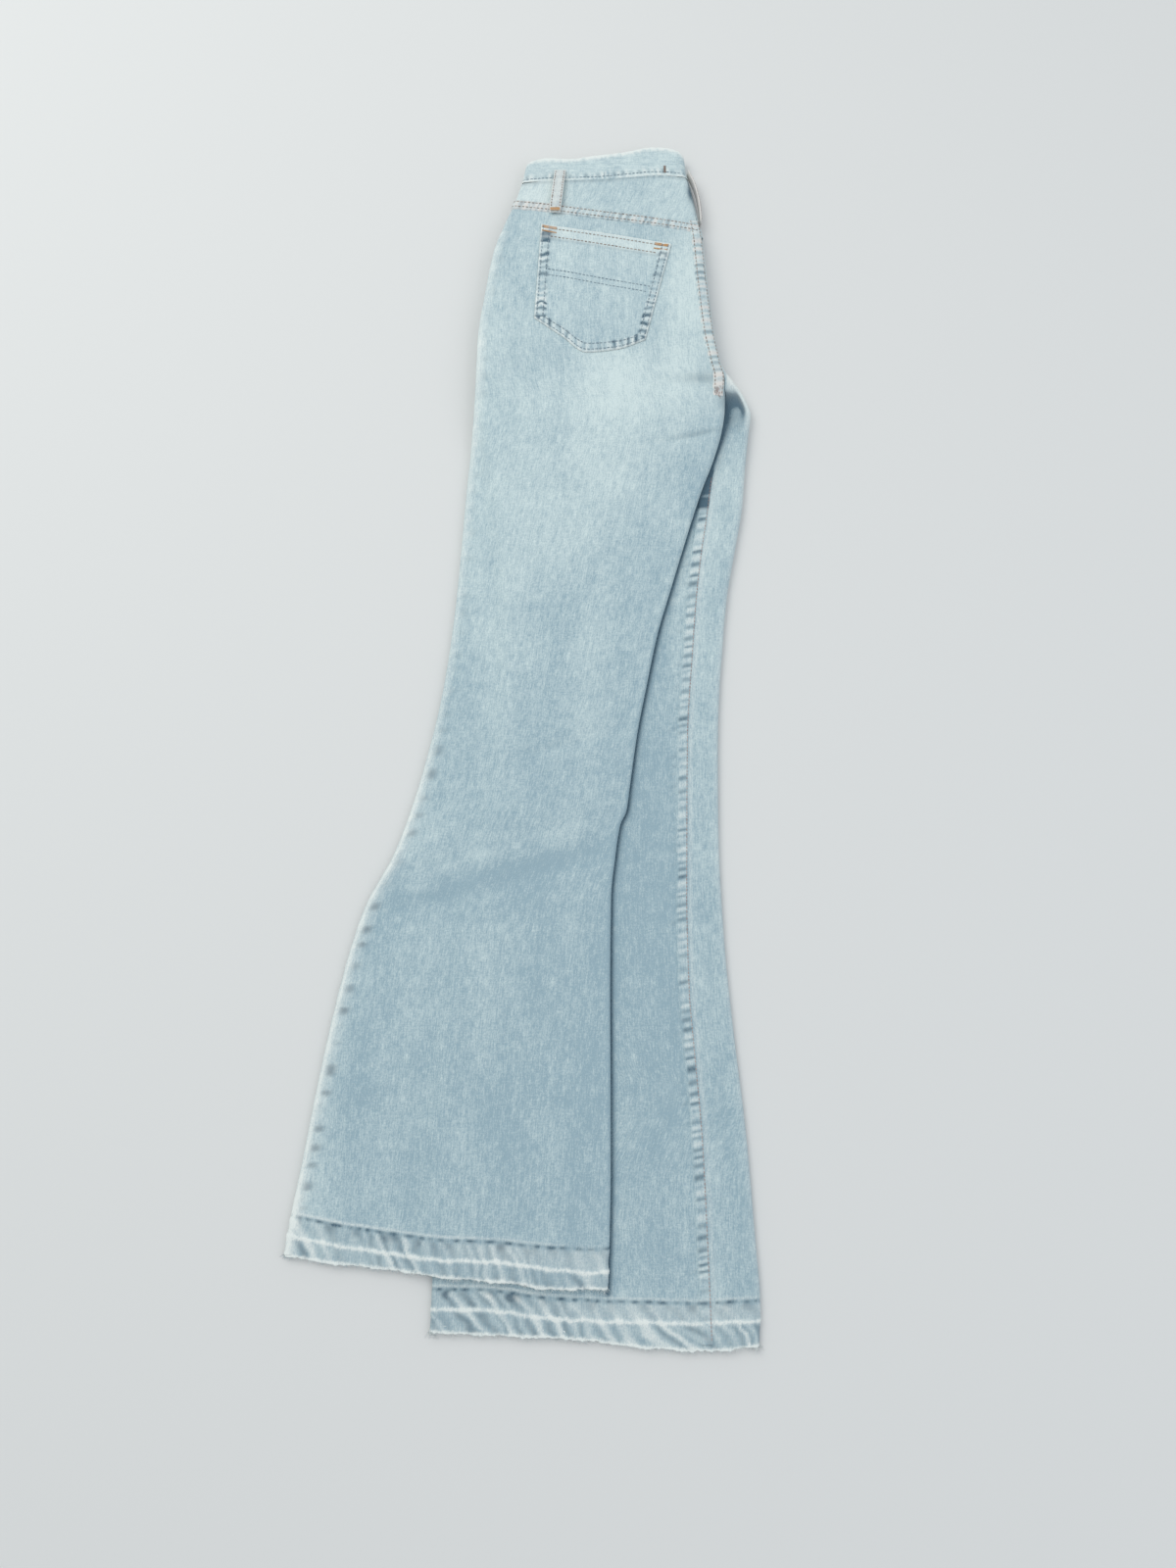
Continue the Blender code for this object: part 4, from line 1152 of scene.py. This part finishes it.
def inseamExtra(x, down, share, lift, tone):
    # lies under the top leg where it starts, and over the right hem where it ends
    free = smooth(x - topRight(down), -3, 0.5)
    base, wearAndShade = rightWearAndShade(x, down)
    hem = smooth(down, 1050, 1062)
    lift = lift * (0.25 + 0.6 * free) + base
    # short dark dips beside the stitch line, fainter towards the band's left edge
    reach = smooth(share, 0.3 * patchy(x * 0, down, 50, 9, 6) - 0.1, 0.32)
    tone[..., 1] = tone[..., 1] * reach * (1 - bell(share - 1, 0.12))
    tone[..., 2] = tone[..., 2] * reach
    tone[..., 0] = mix(wearAndShade[..., 0] + 0.05, tone[..., 0], 0.35 * reach)
    tone = tone * (1 - 0.75 * hem[..., None]) + wearAndShade * 0.75 * hem[..., None]
    # painted shade beside the top leg's edge and in the gap under it, where the worn white is taken out
    tone[..., 1] += 0.5 * bell(x - topRight(down), 3) * (1 - smooth(down, 400, 470)) + 1.1 * shaded(down)
    tone[..., 2] *= 1 - shaded(down)
    return lift, tone


def seatExtra(x, down, share, lift, tone):
    # bulky and worn where it meets the inseam
    end = smooth(down, 232, 256)
    tone[..., 1] *= 1 - 0.5 * end
    tone[..., 2] += 0.5 * end
    lift += 0.3 * end * bandProfile(share)
    return lift * (1 - 0.9 * smooth(down, 262, 268)), tone


def outseamExtra(x, down, share, lift, tone):
    base, wearAndShade = leftWearAndShade(x, down)
    flare = smooth(down, 560, 660)
    lift = lift * 0.35 + base
    tone[..., 0] = mix(wearAndShade[..., 0] + 0.1, tone[..., 0], 0.3)
    tone[..., 1] = tone[..., 1] * flare + wearAndShade[..., 1]
    tone[..., 2] = 0.05 + (0.12 + 0.2 * flare) * bell(share - 0.45, 0.22) + wearAndShade[..., 2]
    return lift, tone


yokeCloth = clothPiece("leftYoke", *leftYokePiece(), "leg")
rightYokeCloth = clothPiece("rightYoke", *rightYokePiece(), "leg")
waistbandGrid = waistbandPiece()
bandCloth = clothPiece("waistbandCloth", *waistbandGrid, "leg", weld=True, warpAcross=True)
pocketGrid, pocketShares = pocketPiece()
pocketCloth = clothPiece("pocket", *pocketGrid, "leg")
backCentres, edgeCentres = loopCentres()
backLoopGrid = loopPiece(backCentres, (1, 0, 0), (0, 0, 1), 1.0)
edgeLoopGrid = loopPiece(edgeCentres, (0, 0, -1), (1, 0, 0), 2.0, worn=1.1)
backLoop = clothPiece("beltLoopLeftBack", *backLoopGrid, "seam", weld=True)
edgeLoop = clothPiece("beltLoopCentreBack", *edgeLoopGrid, "seam", weld=True)
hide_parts("left_back_yoke")
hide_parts("right_back_yoke")
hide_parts("waistband")
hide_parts("left_back_pocket")
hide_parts("belt_loop_left_back")
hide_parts("belt_loop_centre_back")
print("yokes, waistband, pocket and loops done")

# ends down the garment, columns and row pitch, then pucker pitch and height, fade, indigo and white
yokeSeamGrid = yokeBand()
seatSeamGrid = seamBand(seatSection, 84, 268, 17, 1.1, (8, 0.22, 0.72, 0.6, 0.85), seatExtra)
inseamGrid = seamBand(inseamSection, 346, 1099, 13, 1.3, (8.5, 0.26, 0.34, 0.9, 0.5), inseamExtra)
outseamGrid = seamBand(outseamSection, 96, 1030, 12, 1.6, (21, 0.25, 0.5, 0.15, 0.3), outseamExtra)
rightSeamGrid = seamBand(rightYokeSection, 88.5, 98, 24, 0.9, (11, 0.1, 0.6, 0.2, 0.3))
for name, grid, cloth, replaced in (
    ("yokeSeam", yokeSeamGrid, "seam", "yoke_seam"),
    ("seatSeam", seatSeamGrid, "seam", "seat_seam"),
    ("inseam", inseamGrid, "leg", "right_inseam"),
    ("outseam", outseamGrid, "leg", "left_outseam"),
    ("rightYokeSeam", rightSeamGrid, "seam", "yoke_seam"),
):
    clothPiece(name, *grid, cloth, "seam_denim")
    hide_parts(replaced)
print("seams done")


# Stitches, bartacks and frayed threads

stitches = {"long": 2.9, "gap": 0.8, "thick": 0.5}


def stitch(body, start, end, out, thick):
    # one stitch: a small bead of thread, sunk at both ends
    along = end - start
    side = np.cross(along, out)
    side /= np.linalg.norm(side)
    up = np.cross(side, along) / np.linalg.norm(along)
    middle = (start + end) / 2 + up * thick * 0.25
    axes = np.column_stack([side * thick, up * thick, along / 2, middle]) * mm
    matrix = Matrix([*axes.tolist(), (0, 0, 0, 1)])
    bmesh.ops.create_uvsphere(body, u_segments=6, v_segments=4, radius=1, matrix=matrix)


def gather(body, part):
    # moves a few threads into the whole, which is quicker than growing it one by one
    mesh = meshOf("part", part)
    body.from_mesh(mesh)
    bpy.data.meshes.remove(mesh)


def stitchRow(body, line, out, long=None, gap=None, thick=None):
    # a row of stitches along a line of places, each with its way out
    row = bmesh.new()
    long, gap = long or stitches["long"], gap or stitches["gap"]
    thick = thick or stitches["thick"]
    run = runOf(line)
    for start in np.arange(0.2, run[-1] - long, long + gap):
        ends = start + rng.uniform(-0.15, 0.15), start + long + rng.uniform(-0.2, 0.2)
        first, last = [alongLine(end, run, line) for end in ends]
        stitch(row, first, last, alongLine(start, run, out), thick * rng.uniform(0.85, 1.1))
    gather(body, row)


def bartack(body, first, last, out, wide, thick=0.28):
    # a dense bar of short stitches across a line from first to last
    first, last, out = np.array(first), np.array(last), np.array(out)
    along = last - first
    length = np.linalg.norm(along)
    side = np.cross(out, along) / length
    for step in np.arange(0, length, thick * 1.5):
        middle = first + along * step / length
        reach = side * wide / 2 * rng.uniform(0.85, 1.05)
        stitch(body, middle - reach, middle + reach, out, thick)


def threadPiece(name, body, material):
    return shown(name, meshOf(name, body), material)


def gridLine(grid, row=None, column=None):
    place, out = grid[0], facing(grid[0])
    if row is not None:
        return place[row], out[row]
    return place[:, column], out[:, column]


def acrossGrid(grid, rows, columns):
    # places between the points of a grid, and their ways out
    place, out = grid[0], facing(grid[0])
    i, j = np.floor(rows).astype(int), np.floor(columns).astype(int)
    i, j = np.clip(i, 0, place.shape[0] - 2), np.clip(j, 0, place.shape[1] - 2)
    s, t = (rows - i)[:, None], (columns - j)[:, None]

    def between(part):
        near = mix(part[i, j], part[i, j + 1], t)
        return mix(near, mix(part[i + 1, j], part[i + 1, j + 1], t), s)

    return between(place), between(out)


def onPocket(u, v):
    uNodes, vNodes = pocketShares
    rows = np.interp(v, vNodes, np.arange(len(vNodes)))
    columns = np.interp(u, uNodes, np.arange(len(uNodes)))
    return acrossGrid(pocketGrid, rows, columns)


brown = bmesh.new()
for row in (3, 9):
    line, out = gridLine(yokeSeamGrid, row=row)
    stitchRow(brown, line[8:], out[8:])
for column in (3, 13):
    stitchRow(brown, *gridLine(seatSeamGrid, column=column))

pink = bmesh.new()
stitchRow(pink, *gridLine(inseamGrid, column=11), long=2.6, gap=0.5, thick=0.36)
loose = {"count": 14, "scatter": 2.4, "flat": (1, 1, 0.15), "lean": 0.9, "long": (3, 6), "thick": 0.22}
for k in range(loose["count"]):  # threads pulled loose where the seat seam ends
    scatter = rng.uniform(-loose["scatter"], loose["scatter"], 3) * loose["flat"]
    start = gridLine(seatSeamGrid, column=7)[0][-9 + k % 8] + scatter
    turn = rng.uniform(-loose["lean"], loose["lean"])
    way = np.array([math.sin(turn), -math.cos(turn), 0.1])
    stitch(pink, start, start + way * rng.uniform(*loose["long"]), (0.3, 0, 1), loose["thick"])
inseamThread = threadPiece("inseamStitches", pink, "pink")

slate = bmesh.new()
wide, long = pocket["sewn"]
for inset in pocket["sideRows"]:
    u, v = inset / wide, inset / long
    down = np.linspace(0.02, 1 - v, 60)
    stitchRow(slate, *onPocket(u + 0 * down, down))
    stitchRow(slate, *onPocket(1 - u + 0 * down, down))
    sweep = np.linspace(u, 1 - u, 80)
    stitchRow(slate, *onPocket(sweep, 1 - v + 0 * sweep))
sweep = np.linspace(0.075, 0.925, 80)
first, last = pocket["corners"]
fall = curve(pocket["foot"], 2)(sweep) - mix(first[1], last[1], sweep)
for below in pocket["plainRows"]:  # straight and parallel to the opening
    stitchRow(slate, *onPocket(sweep, below / fall))
for below in pocket["openingRows"]:
    stitchRow(brown, *onPocket(sweep, below / fall))
line, out = gridLine(waistbandGrid, row=3)
outside = np.flatnonzero(line[:, 2] > 11.0)  # the top layer lies at both ends of the band's line
for part in (outside[outside < 200], outside[outside > 300]):
    stitchRow(slate, line[part], out[part])
pocketThread = threadPiece("pocketStitches", slate, "slate")
brownThread = threadPiece("yokeStitches", brown, "brown")

onLoops = bmesh.new()
for grid in (backLoopGrid, edgeLoopGrid):
    for column in (5, 9):
        line, out = gridLine(grid, column=column)
        stitchRow(onLoops, line[2:-2], out[2:-2], long=2.2)
bar = {"x": 124, "top": 21.5, "foot": 29, "height": 13.95, "wide": 2.8}  # on the waistband
ends = [(bar["x"] - origin[0], origin[1] - bar[end], bar["height"]) for end in ("top", "foot")]
bartack(onLoops, *ends, (0, 0, 1), bar["wide"])
loopThread = threadPiece("loopStitches", onLoops, "brown")

orange = bmesh.new()
for u0, u1 in ((0.012, 0.122), (0.878, 0.985)):
    for v, tall in ((0.03, 3.6), (0.075, 1.6)):
        ends, outs = onPocket(np.array([u0, u1]), np.array([v, v]))
        bartack(orange, ends[0] + outs[0] * 0.1, ends[1] + outs[1] * 0.1, outs[0], tall)
line, out = gridLine(backLoopGrid, row=-4)
foot = line[7] + out[7] * 0.3
bartack(orange, foot - (4.5, 0, 0), foot + (4.5, 0, 0), (0, 0, 1), 4.0)
orangeThread = threadPiece("bartacks", orange, "orange")

frays = {"perMillimetre": 3.4, "long": (0.8, 3.6), "thick": 0.17}


def frayThread(body, root, way, length, thick):
    # a loose end of weft: a thin tapering thread
    way = way / np.linalg.norm(way)
    side = np.cross(way, (0.3, 0.2, 1.0))
    side /= np.linalg.norm(side)
    up = np.cross(side, way)
    axes = np.column_stack([side, up, way, root + way * length / 2])
    axes[:, 3] *= mm
    matrix = Matrix([*axes.tolist(), (0, 0, 0, 1)])
    bmesh.ops.create_cone(
        body, cap_ends=True, segments=3, radius1=thick * mm, radius2=thick * 0.5 * mm, depth=length * mm,
        matrix=matrix,
    )


def frayPiece(name, edge, tufts):
    # fuzz all along a raw edge, with longer tufts at a few places
    body = bmesh.new()
    run = runOf(edge)
    batch = bmesh.new()
    for k in range(int(run[-1] * frays["perMillimetre"])):
        at = rng.uniform(0, run[-1])
        root = alongLine(at, run, edge)
        lean = rng.normal(0, 0.8)
        length = rng.uniform(*frays["long"]) * (0.5 + rng.random() ** 2)
        for place, reach in tufts:
            length += reach * rng.random() * bell(root[0] - place, 5)
        way = np.array([lean, -1.0, rng.uniform(-0.25, 0.1)])
        root = root + np.array([0, 0.5, -rng.uniform(0.1, 1.0)])
        root[2] = max(root[2], 0.6)
        way[2] = max(way[2], (0.15 - root[2]) / length)  # stays above the floor
        frayThread(batch, root, way, length, frays["thick"] * rng.uniform(0.7, 1.3))
        if k % 60 == 59:
            gather(body, batch)
            batch = bmesh.new()
    gather(body, batch)
    return threadPiece(name, body, "fray")


leftFray = frayPiece("leftHemFray", leftLegGrid[0][-5], ((-204, 5.0), (-60, 2.0), (63, 3.0)))
rightFray = frayPiece("rightHemFray", rightLegGrid[0][-5], ((-80, 5.0), (40, 2.0), (188, 4.0)))
print("stitches and frays done")


# Floor, light and camera

stage = {
    "floor": "#dcdedd",
    "roughness": 0.9,
    "specular": 0.2,
    "size": 6.0,
    "below": 0.2,  # how far the floor lies under the jeans
    "sky": "#f4f7fa",
    "skyStrength": 0.72,
}
paint, _, shader = matt("mattPaintedFloor", stage["roughness"], stage["specular"])
shader["Base Color"].default_value = linear(stage["floor"])
ground = bmesh.new()
bmesh.ops.create_grid(ground, x_segments=8, y_segments=8, size=stage["size"] / 2)
groundMesh = meshOf("floor", ground)
groundMesh.transform(Matrix.Translation((0, 0, -stage["below"] * mm)))
groundMesh.materials.append(paint)
floor = added("floor", groundMesh)

world = bpy.data.worlds.new("softSky")
world.use_nodes = True
background = world.node_tree.nodes["Background"].inputs
background["Color"].default_value = linear(stage["sky"])
background["Strength"].default_value = stage["skyStrength"]
bpy.context.scene.world = world

lamps = (
    # name, place, size, power, colour
    ("softboxUpperLeft", (-1.3, 1.2, 1.9), 1.8, 26.0, "#fbfaf6"),
    ("softboxRight", (1.7, -0.5, 1.8), 2.0, 9.0, "#eef4ff"),
)
for name, place, size, power, colour in lamps:
    lamp = bpy.data.lights.new(name, "AREA")
    lamp.shape = "DISK"
    lamp.size = size
    lamp.energy = power
    lamp.color = linear(colour)[:3]
    holder = added(name, lamp)
    holder.location = place
    holder.rotation_euler = (-Vector(place)).to_track_quat("-Z", "Y").to_euler()

bpy.context.scene.view_settings.view_transform = "Standard"
photo = {"lens": 27.05, "sensor": 36.0, "place": (0.04885, -0.28298, 1.03), "tilt": 11}
lens = bpy.data.cameras.new("photoView")
lens.lens = photo["lens"]
lens.sensor_width = photo["sensor"]
camera = added("photoView", lens)
camera.location = photo["place"]
camera.rotation_euler = (math.radians(photo["tilt"]), 0, 0)
bpy.context.scene.camera = camera
print("camera and lights ready")

# what still shows of the CAD model: the layers inside, from below and between the legs
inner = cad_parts["hidden_layers"]
for slot in inner.material_slots:
    slot.material = materials["inner"]
